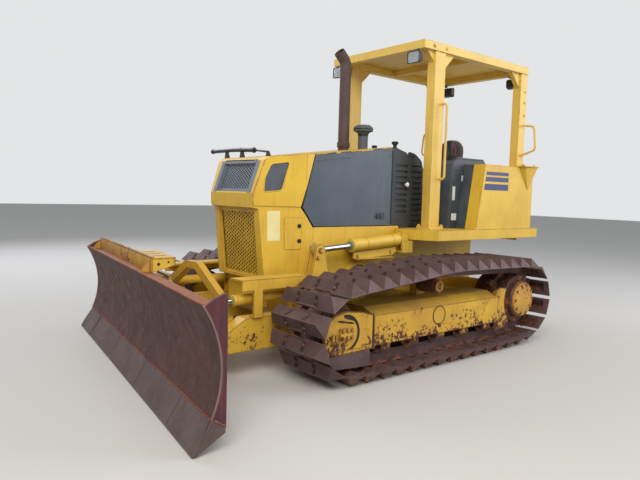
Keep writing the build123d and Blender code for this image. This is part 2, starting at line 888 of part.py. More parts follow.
def make_platform():
    """The floor with its deep skirt and chamfered front corners."""
    outline = [
        (platform_front_x + 75, -500),
        (platform_front_x + 75, 500),
        (platform_front_x, platform_half_width - 110),
        (platform_front_x - 60, platform_half_width),
        (platform_rear_x, platform_half_width),
        (platform_rear_x, -platform_half_width),
        (platform_front_x - 60, -platform_half_width),
        (platform_front_x, -platform_half_width + 110),
    ]
    inside = [
        (platform_front_x + 60, -490),
        (platform_front_x + 60, 490),
        (platform_front_x - 14, platform_half_width - 118),
        (platform_front_x - 68, platform_half_width - 14),
        (platform_rear_x + 14, platform_half_width - 14),
        (platform_rear_x + 14, -platform_half_width + 14),
        (platform_front_x - 68, -platform_half_width + 14),
        (platform_front_x - 14, -platform_half_width + 118),
    ]
    with BuildPart() as platform:
        flat_slab(outline, platform_bottom_z, platform_top_z)
        flat_slab(inside, platform_bottom_z, platform_top_z - platform_plate, mode=Mode.SUBTRACT)
        # The engine tub passes through the front of the floor
        block(tub_rear_x - 16, -300, -tub_half_width - 5, tub_half_width + 5, platform_bottom_z, platform_top_z, mode=Mode.SUBTRACT)
        # Cross ribs that carry the floor on the rear case
        for x in (-860, -1250, -1700):
            block(x - 25, x + 25, -platform_half_width + 14, platform_half_width - 14, platform_bottom_z, platform_top_z - platform_plate)
    return platform.part


def make_fender():
    """The left rear fender box with a sloping front."""
    with BuildPart() as fender:
        side_slab(
            [
                (-1098, platform_top_z),
                (-1199, fender_top_z),
                (-2010, fender_top_z),
                (-2010, platform_top_z),
            ],
            fender_inner_y,
            fender_half_width,
        )
        top_edges = fender.edges().filter_by(Axis.X).group_by(Axis.Z)[-1]
        chamfer(top_edges, 12)
    return fender.part


def make_console():
    """The left console: a moulded box beside the seat with an arm rest."""
    with BuildPart() as console:
        side_slab(
            [
                (-960, platform_top_z),
                (-985, 1480),
                (-1010, 1650),
                (-1060, 1700),
                (-1500, 1700),
                (-1560, 1640),
                (-1560, platform_top_z),
            ],
            430,
            fender_inner_y - 4,
        )
        fillet(console.edges().filter_by(Axis.Y).group_by(Axis.Z)[-1], 25)
    return console.part


def make_tank():
    """The fuel tank behind the seat, standing on the rear of the floor."""
    with BuildPart() as tank:
        side_slab(
            [
                (tank_front_x, platform_top_z),
                (tank_front_x - 70, tank_top_z),
                (tank_rear_x, tank_top_z),
                (tank_rear_x, 960),
                (platform_rear_x - seat_gap, 900),
                (platform_rear_x - seat_gap, platform_top_z),
            ],
            -tank_half_width,
            tank_half_width,
        )
        chamfer(tank.edges().filter_by(Axis.Y).group_by(Axis.Z)[-1], 14)
        with BuildSketch(Plane.XY.offset(tank_top_z)):
            with Locations((tank_front_x - 170, -330)):
                Circle(60)
        extrude(amount=45)
    return tank.part


seat_x = -1380
seat_half_width = 245


def make_seat():
    """The seat pedestal, cushion and back with its headrest."""
    with BuildPart() as base:
        block(seat_x - 190, seat_x + 190, -200, 200, platform_top_z, 1290)
        block(seat_x - 250, seat_x + 240, -235, 235, 1290, 1320)
    with BuildPart() as cushion:
        block(seat_x - 240, seat_x + 250, -seat_half_width, seat_half_width, 1320, 1440)
        fillet(cushion.edges().filter_by(Axis.Z), 40)
    with BuildPart() as back:
        side_slab(
            [
                (seat_x - 240 - seat_gap, 1345),
                (seat_x - 310, 1960),
                (seat_x - 385, 1985),
                (seat_x - 420, 1950),
                (seat_x - 374, 1345),
            ],
            -seat_half_width,
            seat_half_width,
        )
        front_slab([(170, 1690), (170, 2100), (400, 2100), (400, 1690)], seat_x - 500, seat_x - 200, mode=Mode.SUBTRACT)
        front_slab([(-170, 1690), (-170, 2100), (-400, 2100), (-400, 1690)], seat_x - 500, seat_x - 200, mode=Mode.SUBTRACT)
    return base.part, cushion.part, back.part


def make_levers():
    """The travel lever on the left console and the blade lever on the right one."""
    with BuildPart() as levers:
        for x, y in ((-1080, 515), (-1085, -515)):
            rod((x, y, 1702), (x + 15, y, 1790), 12)
            with BuildSketch(Plane.XY.offset(1785)) as knob:
                with Locations((x + 16, y)):
                    Circle(24)
            extrude(knob.sketch, amount=85, taper=-4)
    return levers.part


def make_canopy():
    """The four posts with their feet and gussets, and the roof frame with its plate."""
    with BuildPart() as canopy:
        inner_y = post_outer_y - post_width
        beam_z = roof_top_z - roof_depth
        for side in (-1, 1):
            near, far = sorted((side * inner_y, side * post_outer_y))
            # Front posts on foot plates
            block(post_front_x - post_length, post_front_x, near, far, platform_top_z + 22, beam_z)
            block(post_front_x - post_length - 30, post_front_x + 30, near - 30, far + 30, platform_top_z, platform_top_z + 22)
            # Rear posts on the tank
            block(roof_rear_x, roof_rear_x + 115, near, far, tank_top_z, beam_z)
            # Side beams
            near, far = sorted((side * (roof_half_width - 90), side * roof_half_width))
            block(roof_rear_x, roof_front_x, near, far, beam_z, roof_top_z)
            # Gussets between the posts and the beams
            near, far = sorted((side * (post_outer_y - 70), side * (post_outer_y - 20)))
            for x, way in ((post_front_x, 1), (post_front_x - post_length, -1), (roof_rear_x + 115, 1)):
                size = 95 if way * 1 == 1 and x == post_front_x else 150
                side_slab([(x, beam_z), (x + way * size, beam_z), (x, beam_z - size)], near, far)
        # Cross beams and the roof plate
        for x in (roof_front_x - 90, roof_rear_x):
            block(x, x + 90, -roof_half_width + 90, roof_half_width - 90, beam_z, roof_top_z)
        block(-1400, -1340, -roof_half_width + 90, roof_half_width - 90, beam_z + 12, roof_top_z)
        block(roof_rear_x + 20, roof_front_x - 20, -roof_half_width + 20, roof_half_width - 20, roof_top_z - roof_plate, roof_top_z)
    return canopy.part


def make_lamps():
    """Two front and two rear work lamps hung under the roof's edge."""
    with BuildPart() as lamps:
        top = roof_top_z - roof_depth - seat_gap
        for x, y, way in ((-562, 507, 1), (-562, -507, 1), (-2136, 430, -1), (-2136, -430, -1)):
            rod((x, y, top), (x, y, top - 40), 9)
            low, high = sorted((x - way * 10, x + way * 62))
            block(low, high, y - 72, y + 72, top - 130, top - 22)
    return lamps.part


def make_handrails():
    """Bent-tube handrails on the posts."""
    with BuildPart() as rails:
        for side in (-1, 1):
            y = side * post_outer_y
            out = side * (post_outer_y + 62)
            x = post_front_x - post_length + 30
            with BuildLine() as path:
                FilletPolyline((x, y, 2180), (x, out, 2180), (x, out, 1500), (x, y, 1500), radius=30)
            with BuildSketch(Plane(origin=path.wires()[0] @ 0, z_dir=path.wires()[0] % 0)):
                Circle(11)
            sweep(path=path.wires()[0])
    return rails.part


save(make_hood_top(), "hood_top")
save_pair(make_door(), "engine_door")
save(make_stack(), "exhaust_stack")
save(make_cleaner(), "pre_cleaner")
save(make_dash(), "dash_cowl")
save(make_platform(), "platform")
save_both(make_fender(), "rear_fenders")
save_both(make_console(), "consoles")
save(make_tank(), "fuel_tank")
seat_parts = make_seat()
save(seat_parts[0], "seat_base")
save(seat_parts[1], "seat_cushion")
save(seat_parts[2], "seat_back")
save(make_levers(), "control_levers")
save(make_canopy(), "canopy")
save(make_lamps(), "work_lamps")
save(make_handrails(), "handrails")
lower_grille, upper_grille = make_grilles()
save(lower_grille, "lower_grille")
save(upper_grille, "upper_grille")


def make_cframe():
    """The C-frame: two arms on the trunnions, the front cross member, its nose and the uprights."""
    with BuildPart() as cframe:
        for side in (-1, 1):
            near, far = sorted((side * arm_inner_y, side * arm_outer_y))
            side_slab(
                [
                    (trunnion_x - 70, trunnion_z - 55),
                    (trunnion_x - 70, trunnion_z + 55),
                    (trunnion_x - 30, trunnion_z + 90),
                    (trunnion_x + 200, trunnion_z + 90),
                    (trunnion_x + 500, arm_top_z),
                    (cframe_front_x - 150, arm_top_z),
                    (cframe_front_x, arm_top_z - 90),
                    (cframe_front_x, arm_bottom_z),
                    (trunnion_x + 330, arm_bottom_z),
                    (trunnion_x - 30, trunnion_z - 95),
                ],
                near,
                far,
            )
            across(trunnion_x, trunnion_z, near - 1, far + 1, trunnion_radius + pin_clearance, mode=Mode.SUBTRACT)
            # Uprights for the lift cylinder's rod eye
            for gap_side in (-1, 1):
                y = side * (lift_y + gap_side * (lift_eye_width / 2 + 1 + 9))
                side_slab(
                    [
                        (440, arm_top_z),
                        (720, arm_top_z),
                        (700, 560),
                        (640, 820),
                        (lift_front_x + 42, lift_front_z + 30),
                        (lift_front_x, lift_front_z + 52),
                        (lift_front_x - 42, lift_front_z + 30),
                        (500, 740),
                    ],
                    y - 9,
                    y + 9,
                )
            across(lift_front_x, lift_front_z, *sorted((side * (lift_y - 50), side * (lift_y + 50))), lift_pin_radius)
            # Block and forked lugs for the angle cylinder's rear pin
            lug_near, lug_far = sorted((side * (angle_rear_y - 40), side * (angle_rear_y + 40)))
            half = angle_eye_height / 2 + pin_clearance
            for z0, z1 in ((arm_top_z, angle_z - half), (angle_z + half, angle_z + half + 18)):
                block(angle_rear_x - 75, angle_rear_x + 32, lug_near, lug_far, z0, z1)
            block(angle_rear_x - 75, angle_rear_x - 48, lug_near, lug_far, arm_top_z, angle_z + half + 18)
            rod((angle_rear_x, side * angle_rear_y, arm_top_z), (angle_rear_x, side * angle_rear_y, angle_z + half + 26), angle_pin_radius)
            # Channel guard over the angle cylinder
            guard_in, guard_out = sorted((side * 455, side * 620))
            block(690, 1300, guard_in, guard_out, 696, 710)
            wall_in, wall_out = sorted((side * 606, side * 620))
            block(690, 1300, wall_in, wall_out, 630, 710)
            foot_in, foot_out = sorted((side * 560, side * 620))
            block(1120, 1200, foot_in, foot_out, arm_top_z, arm_top_z + 16)
            block(1120, 1200, wall_in, wall_out, arm_top_z, 640)
        # Front cross member and its nose for the yoke's king pin
        block(
            cframe_front_x - cross_member_length,
            cframe_front_x,
            -arm_inner_y,
            arm_inner_y,
            arm_bottom_z,
            arm_top_z,
        )
        for z0, z1 in ((nose_low_z - 36, nose_low_z), (nose_high_z, nose_high_z + 36)):
            flat_slab(
                [
                    (cframe_front_x, -190),
                    (cframe_front_x, 190),
                    (blade_pivot_x + 10, 70),
                    (blade_pivot_x + 52, 30),
                    (blade_pivot_x + 52, -30),
                    (blade_pivot_x + 10, -70),
                ],
                z0,
                z1,
            )
            rod((blade_pivot_x, 0, z0 - 1), (blade_pivot_x, 0, z1 + 1), king_pin_radius + pin_clearance, mode=Mode.SUBTRACT)
    return cframe.part


king_pin_radius = 32
nose_low_z = 262
nose_high_z = 398
yoke_pin_radius = 45


def blade_frame():
    """The frame of the blade's pivot: local X forward and local Y left along the blade."""
    return Plane(
        origin=(blade_pivot_x, 0, 0),
        x_dir=(cos(radians(blade_angle)), sin(radians(blade_angle)), 0),
        z_dir=(0, 0, 1),
    )


def seat_in_machine(part):
    """Moves a piece drawn straight ahead round the pivot to the blade's place."""
    return part.moved(blade_frame().location)


def make_yoke():
    """The yoke: a king pin in the C-frame's nose, a boss into the blade and a mast for the tilt cylinder."""
    with BuildPart() as yoke:
        block(-50, 50, -60, 60, nose_low_z + 2, nose_high_z - 2)
        rod((0, 0, nose_low_z - 40), (0, 0, nose_high_z + 40), king_pin_radius)
        rod((50, 0, blade_pivot_z), (socket_front, 0, blade_pivot_z), yoke_pin_radius)
        # Mast, set behind the nose plates
        block(-104, -74, -70, 70, nose_high_z + 46, tilt_z + 40)
        block(-104, 30, -70, 70, nose_high_z + 46, nose_high_z + 70)
        rod((0, 0, nose_high_z + 36), (0, 0, nose_high_z + 50), king_pin_radius)
        block(-104, -74, tilt_rear_y - 45, 70, tilt_z - 60, tilt_z + 40)
        rod((-75, tilt_rear_y, tilt_z), (tilt_x + tilt_eye_width / 2 + 6, tilt_rear_y, tilt_z), tilt_pin_radius)
    return yoke.part


tilt_x = -36
socket_rear = 66
socket_front = 90


def edge_points(distance):
    """Points of the moldboard's side profile, set back by a distance, in the blade's own axes."""
    low = (blade_reach - edge_run - distance, edge_height)
    belly = (blade_reach - blade_belly_run - distance, blade_belly_z)
    top = (blade_reach - blade_top_run - distance, blade_top_z)
    return low, belly, top


def back_x(z):
    """How far forward the moldboard's back lies at a height, on a parabola through its three points."""
    total = 0.0
    points = edge_points(blade_plate)
    for x, height in points:
        share = 1.0
        for _, other in points:
            if other != height:
                share *= (z - other) / (height - other)
        total += x * share
    return total


def make_blade():
    """The moldboard with its end plates, top channel, lower box and rear brackets."""
    half = blade_width / 2
    rear_x = blade_reach - blade_depth
    front_low, front_belly, front_top = edge_points(0)
    back_low, back_belly, back_top = edge_points(blade_plate)
    with BuildPart() as plate:
        with BuildSketch(Plane.XZ.offset(-half)) as profile:
            with BuildLine():
                ThreePointArc(front_low, front_belly, front_top)
                Line(front_top, back_top)
                ThreePointArc(back_top, back_belly, back_low)
                Line(back_low, front_low)
            make_face()
        extrude(amount=blade_width)
        # End plates
        for y0 in (-half, half - 20):
            with BuildSketch(Plane.XZ.offset(-y0)) as end:
                with BuildLine():
                    ThreePointArc(front_low, front_belly, front_top)
                    Polyline(front_top, (rear_x, blade_top_z + 25), (rear_x, edge_height - 50), (front_low[0] - 62, edge_height - 46), (back_low[0] - 6, edge_height), front_low)
                make_face()
            extrude(end.sketch, amount=-20)
        # Top channel along the back
        side_slab(
            [
                (rear_x + 20, blade_top_z - 12),
                (back_top[0], blade_top_z - 12),
                (back_top[0] - 16, blade_top_z - 60),
                (rear_x + 20, blade_top_z - 60),
            ],
            -half + 20,
            half - 20,
        )
        # Lower box along the back
        side_slab(
            [
                (rear_x, edge_height + 20),
                (back_low[0] - 6, edge_height + 6),
                (back_belly[0] + 3, 380),
                (rear_x, 380),
            ],
            -half + 20,
            half - 20,
        )
        # Socket wall for the yoke's boss
        block(socket_rear, socket_front + 4, -150, 150, 215, 520)
        rod((socket_rear - 1, 0, blade_pivot_z), (socket_front + 1, 0, blade_pivot_z), yoke_pin_radius + pin_clearance, mode=Mode.SUBTRACT)
        # Lugs for the angle cylinders
        for side in (-1, 1):
            for z0, z1 in (
                (angle_z - angle_clevis_half - 16, angle_z - angle_clevis_half),
                (angle_z + angle_clevis_half, angle_z + angle_clevis_half + 16),
            ):
                root_x = min(back_x(z0), back_x(z1)) + 8
                flat_slab(
                    [
                        (root_x, side * angle_front_y - 60),
                        (root_x, side * angle_front_y + 60),
                        (-20, side * angle_front_y + 34),
                        (-36, side * angle_front_y),
                        (-20, side * angle_front_y - 34),
                    ],
                    z0,
                    z1,
                )
            # Bosses on the outside of each lug
            boss_z = angle_z + angle_clevis_half + 8
            rod((0, side * angle_front_y, boss_z), (0, side * angle_front_y, boss_z + 22), 30)
            boss_z = angle_z - angle_clevis_half - 8
            rod((0, side * angle_front_y, boss_z), (0, side * angle_front_y, arm_top_z + running_gap), 30)
        # Lug for the tilt cylinder's rod
        side_slab(
            [
                (tilt_x + tilt_eye_width / 2 + 2, tilt_z - 45),
                (back_belly[0] + 26, tilt_z - 45),
                (back_belly[0] + 64, tilt_z + 45),
                (tilt_x + tilt_eye_width / 2 + 2, tilt_z + 45),
            ],
            tilt_front_y - 40,
            tilt_front_y + 40,
        )
        rod((tilt_x - tilt_eye_width / 2 - 4, tilt_front_y, tilt_z), (60, tilt_front_y, tilt_z), tilt_pin_radius)
    return plate.part


def make_cutting_edge():
    """The cutting edge: three straight plates and two end bits, bolted below the moldboard."""
    half = blade_width / 2
    tip = (blade_reach, blade_clear_z)
    heel = (blade_reach - edge_run, edge_height)
    length = hypot(edge_run, edge_height - blade_clear_z)
    normal = ((edge_height - blade_clear_z) / length, edge_run / length)
    back = 22
    profile = [
        tip,
        (heel[0] - 0.2, heel[1] - seat_gap),
        (heel[0] - back * normal[0] - 0.2, heel[1] - back * normal[1] - seat_gap),
        (tip[0] - back * 1.1, blade_clear_z),
    ]
    with BuildPart() as edge:
        side_slab(profile, -half, half)
    return edge.part


def make_barrel(start, end, pin_axis, sizes):
    """A cylinder barrel with its rear eye, bored from the front for the rod."""
    radius, length, rod_radius, eye_radius, eye_width, pin_radius = sizes
    axis = (Vector(*end) - Vector(*start)).normalized()
    origin = Vector(*start)
    pin = Vector(*pin_axis)
    with BuildPart() as barrel:
        rod(tuple(origin + axis * (eye_radius - 6)), tuple(origin + axis * (eye_radius + 20)), eye_width / 2 - 1)
        rod(tuple(origin + axis * (eye_radius + 16)), tuple(origin + axis * length), radius)
        rod(tuple(origin - pin * (eye_width / 2)), tuple(origin + pin * (eye_width / 2)), eye_radius)
        rod(tuple(origin + axis * (eye_radius + 30)), tuple(origin + axis * (length + 1)), rod_radius + seat_gap, mode=Mode.SUBTRACT)
        rod(tuple(origin - pin * eye_width), tuple(origin + pin * eye_width), pin_radius + pin_clearance, mode=Mode.SUBTRACT)
    return barrel.part



def make_rod(start, end, pin_axis, rod_radius, rod_length, eye_radius, eye_width, bore):
    """A cylinder rod with its front eye, bored wider than its pin by the eye's drift."""
    axis = (Vector(*end) - Vector(*start)).normalized()
    tip = Vector(*end)
    pin = Vector(*pin_axis)
    with BuildPart() as bar:
        rod(tuple(tip - axis * rod_length), tuple(tip - axis * (eye_radius - 6)), rod_radius)
        rod(tuple(tip - pin * (eye_width / 2)), tuple(tip + pin * (eye_width / 2)), eye_radius)
        rod(tuple(tip - pin * eye_width), tuple(tip + pin * eye_width), bore, mode=Mode.SUBTRACT)
    return bar.part


def make_ball_rod(start, end, rod_radius, rod_length, ball_radius):
    """A cylinder rod that ends in a ball between the blade's lugs."""
    axis = (Vector(*end) - Vector(*start)).normalized()
    tip = Vector(*end)
    with BuildPart() as bar:
        rod(tuple(tip - axis * rod_length), tuple(tip - axis * (ball_radius - 8)), rod_radius)
        with Locations(tuple(tip)):
            Sphere(ball_radius)
    return bar.part


def from_blade(x, y, z):
    """A point given in the blade's straight-ahead axes, as it lies in the machine."""
    angle = radians(blade_angle)
    return (blade_pivot_x + x * cos(angle) - y * sin(angle), x * sin(angle) + y * cos(angle), z)


lift_sizes = (lift_barrel_radius, lift_barrel_length, lift_rod_radius, lift_eye_radius, lift_eye_width, lift_pin_radius)
angle_sizes = (angle_barrel_radius, angle_barrel_length, angle_rod_radius, angle_eye_radius, angle_eye_height, angle_pin_radius)
tilt_sizes = (tilt_barrel_radius, tilt_barrel_length, tilt_rod_radius, tilt_eye_radius, tilt_eye_width, tilt_pin_radius)
lift_rod_length = 620

save(make_cframe(), "c_frame")
save(seat_in_machine(make_yoke()), "blade_yoke")
save(seat_in_machine(make_blade()), "blade")
save(seat_in_machine(make_cutting_edge()), "cutting_edge")

lift_start = (lift_rear_x, lift_y, lift_rear_z)
lift_end = (lift_front_x, lift_y, lift_front_z)
save_pair(make_barrel(lift_start, lift_end, (0, 1, 0), lift_sizes), "lift_barrel")
lift_bar = make_rod(
    lift_start, lift_end, (0, 1, 0), lift_rod_radius, lift_rod_length, lift_open_radius, lift_eye_width, lift_open_bore
)
save_pair(lift_bar, "lift_rod")
for side, name in ((1, "left"), (-1, "right")):
    angle_start = (angle_rear_x, side * angle_rear_y, angle_z)
    angle_end = from_blade(0, side * angle_front_y, angle_z)
    save(make_barrel(angle_start, angle_end, (0, 0, 1), angle_sizes), "angle_barrel_" + name)
    angle_bar = make_ball_rod(angle_start, angle_end, angle_rod_radius, angle_rod_length, angle_ball_radius)
    save(angle_bar, "angle_rod_" + name)
tilt_start = (tilt_x, tilt_rear_y, tilt_z)
tilt_end = (tilt_x, tilt_front_y, tilt_z)
tilt_barrel = make_barrel(tilt_start, tilt_end, (1, 0, 0), tilt_sizes)
save(seat_in_machine(tilt_barrel), "tilt_barrel")
tilt_bar = make_rod(
    tilt_start, tilt_end, (1, 0, 0), tilt_rod_radius, tilt_rod_length, tilt_eye_radius, tilt_eye_width, tilt_open_bore
)
save(seat_in_machine(tilt_bar), "tilt_rod")
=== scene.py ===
# %% [markdown]
# # A small tracked bulldozer, dressed from its solids
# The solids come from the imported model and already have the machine's shapes, sizes and joints. This lesson gives
# them their finishes, adds the small things that a solid model leaves out, such as bolts, labels and weld beads, and
# sets up a camera and soft light. Everything is in metres: +X is forward to the blade, +Y the machine's left, +Z up.

# %% Load the solids
import math
import random

import bmesh
import bpy
from mathutils import Matrix, Vector


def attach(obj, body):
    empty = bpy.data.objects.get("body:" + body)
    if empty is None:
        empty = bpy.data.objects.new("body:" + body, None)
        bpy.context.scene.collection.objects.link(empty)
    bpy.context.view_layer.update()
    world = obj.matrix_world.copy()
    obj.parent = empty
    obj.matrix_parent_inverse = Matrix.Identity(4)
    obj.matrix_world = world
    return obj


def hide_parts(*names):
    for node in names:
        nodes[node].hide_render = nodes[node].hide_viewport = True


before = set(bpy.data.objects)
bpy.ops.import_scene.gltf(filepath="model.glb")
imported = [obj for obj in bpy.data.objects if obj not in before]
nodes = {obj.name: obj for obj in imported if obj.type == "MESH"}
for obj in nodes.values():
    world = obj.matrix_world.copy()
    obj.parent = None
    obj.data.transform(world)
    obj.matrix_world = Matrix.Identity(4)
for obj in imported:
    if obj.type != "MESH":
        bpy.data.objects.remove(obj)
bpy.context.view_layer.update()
mm = 0.001
random.seed(7)

# %% [markdown]
# ## Colours and nodes
# Paint and rust are easiest to name by the hex values that a picture editor shows, but Blender mixes light in linear
# values. One function does that step, so every colour below can be read as a hex value. A second function adds a
# shader node with its settings and links in one line, which keeps each material short.

# %% Helpers for colours and nodes
def linear(code):
    """The linear RGBA of an sRGB hex value such as 'DEB446'."""
    channels = [int(code[i:i + 2], 16) / 255 for i in (0, 2, 4)]
    return tuple([c / 12.92 if c <= 0.04045 else ((c + 0.055) / 1.055) ** 2.4 for c in channels] + [1.0])


def feed(tree, node, sockets):
    """Gives a node's sockets their values, or links them to other nodes' outputs."""
    for name, value in sockets.items():
        if isinstance(value, bpy.types.NodeSocket):
            tree.links.new(value, node.inputs[name])
        else:
            node.inputs[name].default_value = value


def put(tree, kind, sockets=None, **settings):
    """Adds a node; a socket takes a value or another node's output."""
    node = tree.nodes.new(kind)
    for name, value in settings.items():
        setattr(node, name, value)
    feed(tree, node, sockets or {})
    return node


def new_material(name):
    """An empty material with its output and its principled shader."""
    material = bpy.data.materials.new(name)
    material.use_nodes = True
    tree = material.node_tree
    tree.nodes.clear()
    shader = put(tree, "ShaderNodeBsdfPrincipled")
    put(tree, "ShaderNodeOutputMaterial", {"Surface": shader.outputs["BSDF"]})
    return material, tree, shader


print("helpers ready, DEB446 is", [round(c, 3) for c in linear("DEB446")])

# %% [markdown]
# ## The steps that every finish repeats
# Weather works in the same few ways on paint, steel and plastic. Noise of a real size makes patches, a ramp sharpens
# them, and a mix lays one colour over another. Two masks say where wear and dust belong. The Bevel node finds edges,
# because its rounded normal leaves the true one there. What faces up is read from the normal's Z.

# %% Noise, ramps, mixes and two masks
def object_place(tree):
    """Where a point lies on the object, in metres."""
    return put(tree, "ShaderNodeTexCoord").outputs["Object"]


def stretched(tree, place, squeeze):
    """The same place with its height squeezed, which draws a noise out into upright streaks."""
    return put(tree, "ShaderNodeMapping", {"Vector": place, "Scale": (1.0, 1.0, squeeze)}).outputs["Vector"]


def noise(tree, place, size_mm, detail=2.0, roughness=0.5):
    """Noise whose features are about 'size_mm' wide."""
    sockets = {"Vector": place, "Scale": 1 / (size_mm * mm), "Detail": detail, "Roughness": roughness}
    return put(tree, "ShaderNodeTexNoise", sockets).outputs["Fac"]


def ramp(tree, value, low, high, start=0.0, end=1.0):
    """Takes values from 'low' to 'high' to values from 'start' to 'end', and holds the ends."""
    sockets = {"Value": value, "From Min": low, "From Max": high, "To Min": start, "To Max": end}
    return put(tree, "ShaderNodeMapRange", sockets).outputs["Result"]


def combined(tree, operation, first, second):
    """Adds or multiplies two values."""
    return put(tree, "ShaderNodeMath", {0: first, 1: second}, operation=operation).outputs[0]


def mix(tree, share, first, second):
    """Lays a second colour over a first one; each is a hex value or an output."""
    first, second = (linear(colour) if isinstance(colour, str) else colour for colour in (first, second))
    return put(tree, "ShaderNodeMix", {0: share, 6: first, 7: second}, data_type="RGBA").outputs[2]


def at_edges(tree, radius_mm, straight, sharp, most):
    """Grows to 'most' where the rounded normal leaves the true one."""
    bevel = put(tree, "ShaderNodeBevel", {"Radius": radius_mm * mm}, samples=4).outputs["Normal"]
    flat = put(tree, "ShaderNodeNewGeometry").outputs["Normal"]
    agree = put(tree, "ShaderNodeVectorMath", {0: bevel, 1: flat}, operation="DOT_PRODUCT").outputs["Value"]
    return ramp(tree, agree, straight, sharp, 0.0, most)


def facing_up(tree, leaning, level, most):
    """Grows to 'most' on what faces up."""
    flat = put(tree, "ShaderNodeNewGeometry").outputs["Normal"]
    return ramp(tree, put(tree, "ShaderNodeSeparateXYZ", {"Vector": flat}).outputs["Z"], leaning, level, 0.0, most)


def bumped(tree, height, strength, depth_mm):
    """A normal that follows small heights."""
    sockets = {"Height": height, "Strength": strength, "Distance": depth_mm * mm}
    return put(tree, "ShaderNodeBump", sockets).outputs["Normal"]


glass_ior = 1.5  # enamel's clear resin bends light about as glass does
print("steps ready, a 26 mm noise has the scale", round(1 / (26 * mm), 1))

# %% [markdown]
# ## Paint that has worked for years
# Construction paint is a thick enamel. It chips first on edges and low on the machine, where stones hit it, and the
# steel below turns brown. It could be painted by hand, but noise at real sizes gives the same look and needs no
# picture: one slow noise fades the coat and a sharp one of 10 to 40 mm cuts chips. Dust lies on what faces up.

# %% Worn enamel
def worn_enamel(name, coat, faded, rust="6E3B22", chip_mm=26, chips=0.42, edge=0.5, edge_mm=9, low_wear=0.0,
                low_height=0.6, dust=0.25, roughness=0.42, stain="8A6A35"):
    """Enamel with chips; more 'chips' or 'edge' bares more steel, and 'low_wear' adds some below 'low_height'."""
    old_rust, soil_dust, bare_roughness = "3B231A", "9C8055", 0.85
    material, tree, shader = new_material(name)
    place = object_place(tree)
    fade = noise(tree, place, 320, 4.0, 0.6)
    faded_coat = mix(tree, ramp(tree, fade, 0.35, 0.7), coat, faded)
    streak = ramp(tree, noise(tree, stretched(tree, place, 0.12), 38, 3.0), 0.55, 0.85, 0.0, 0.35)
    streaked = mix(tree, streak, faded_coat, stain)
    # A chip opens where a sharp noise, with what edges, low places and slow patches add, passes a threshold
    height = put(tree, "ShaderNodeSeparateXYZ", {"Vector": place}).outputs["Z"]
    wear = noise(tree, place, chip_mm, 9.0, 0.68)
    for more in (at_edges(tree, edge_mm, 0.995, 0.80, edge), ramp(tree, height, low_height, 0.1, 0.0, low_wear),
                 ramp(tree, noise(tree, place, 170), 0.3, 0.7, -0.12, 0.08)):
        wear = combined(tree, "ADD", wear, more)
    threshold = 1.02 - chips * 0.5
    bare = ramp(tree, wear, threshold, threshold + 0.035)
    grain = noise(tree, place, 7, 5.0)
    painted = mix(tree, bare, streaked, mix(tree, grain, rust, old_rust))
    dusty = combined(tree, "MULTIPLY", facing_up(tree, 0.55, 1.0, dust), fade)
    relief = combined(tree, "ADD", combined(tree, "MULTIPLY", bare, -0.6), grain)
    feed(tree, shader, {"Base Color": mix(tree, dusty, painted, soil_dust), "IOR": glass_ior,
                        "Roughness": ramp(tree, bare, 0.0, 1.0, roughness, bare_roughness),
                        "Normal": bumped(tree, relief, 0.25, 0.6)})
    return material


yellow_enamel = worn_enamel("yellow_enamel", "DDB73C", "CFA636", chips=0.46, edge=0.42, low_wear=0.10, low_height=1.0)
canopy_enamel = worn_enamel("canopy_enamel", "E0BE58", "D6B04A", chips=0.36, edge=0.34, dust=0.15)
frame_enamel = worn_enamel("undercarriage_enamel", "D0A52A", "B4862A", rust="6A3A26", chip_mm=30, chips=0.74,
                           edge=0.66, edge_mm=16, low_wear=0.34, low_height=0.46, dust=0.5, roughness=0.6)
arm_enamel = worn_enamel("blade_arm_enamel", "D9B038", "C69A30", rust="74422A", chip_mm=28, chips=0.62, edge=0.58,
                         edge_mm=14, low_wear=0.22, low_height=0.45, dust=0.3, roughness=0.5)
grey_enamel = worn_enamel("grey_enamel", "434D57", "4D5862", rust="8B8474", chip_mm=18, chips=0.30, edge=0.30,
                          dust=0.25, roughness=0.45, stain="6A7178")
rusty_enamel = worn_enamel("rusty_plate_enamel", "C89A36", "A87830", rust="7A4526", chip_mm=22, chips=0.92, edge=0.6,
                           edge_mm=12, dust=0.5, roughness=0.6)
print("enamels", len(bpy.data.materials))

# %% [markdown]
# ## Steel that works in the ground
# Track shoes, the blade and its cutting edge carry no paint. Rolled steel that is polished by soil and then rained on
# turns a brown purple, with orange rust where soil stays wet. Ground steel is neither a mirror nor matte, so the
# metallic value stays low where rust covers it, and the rubbed high places shine.

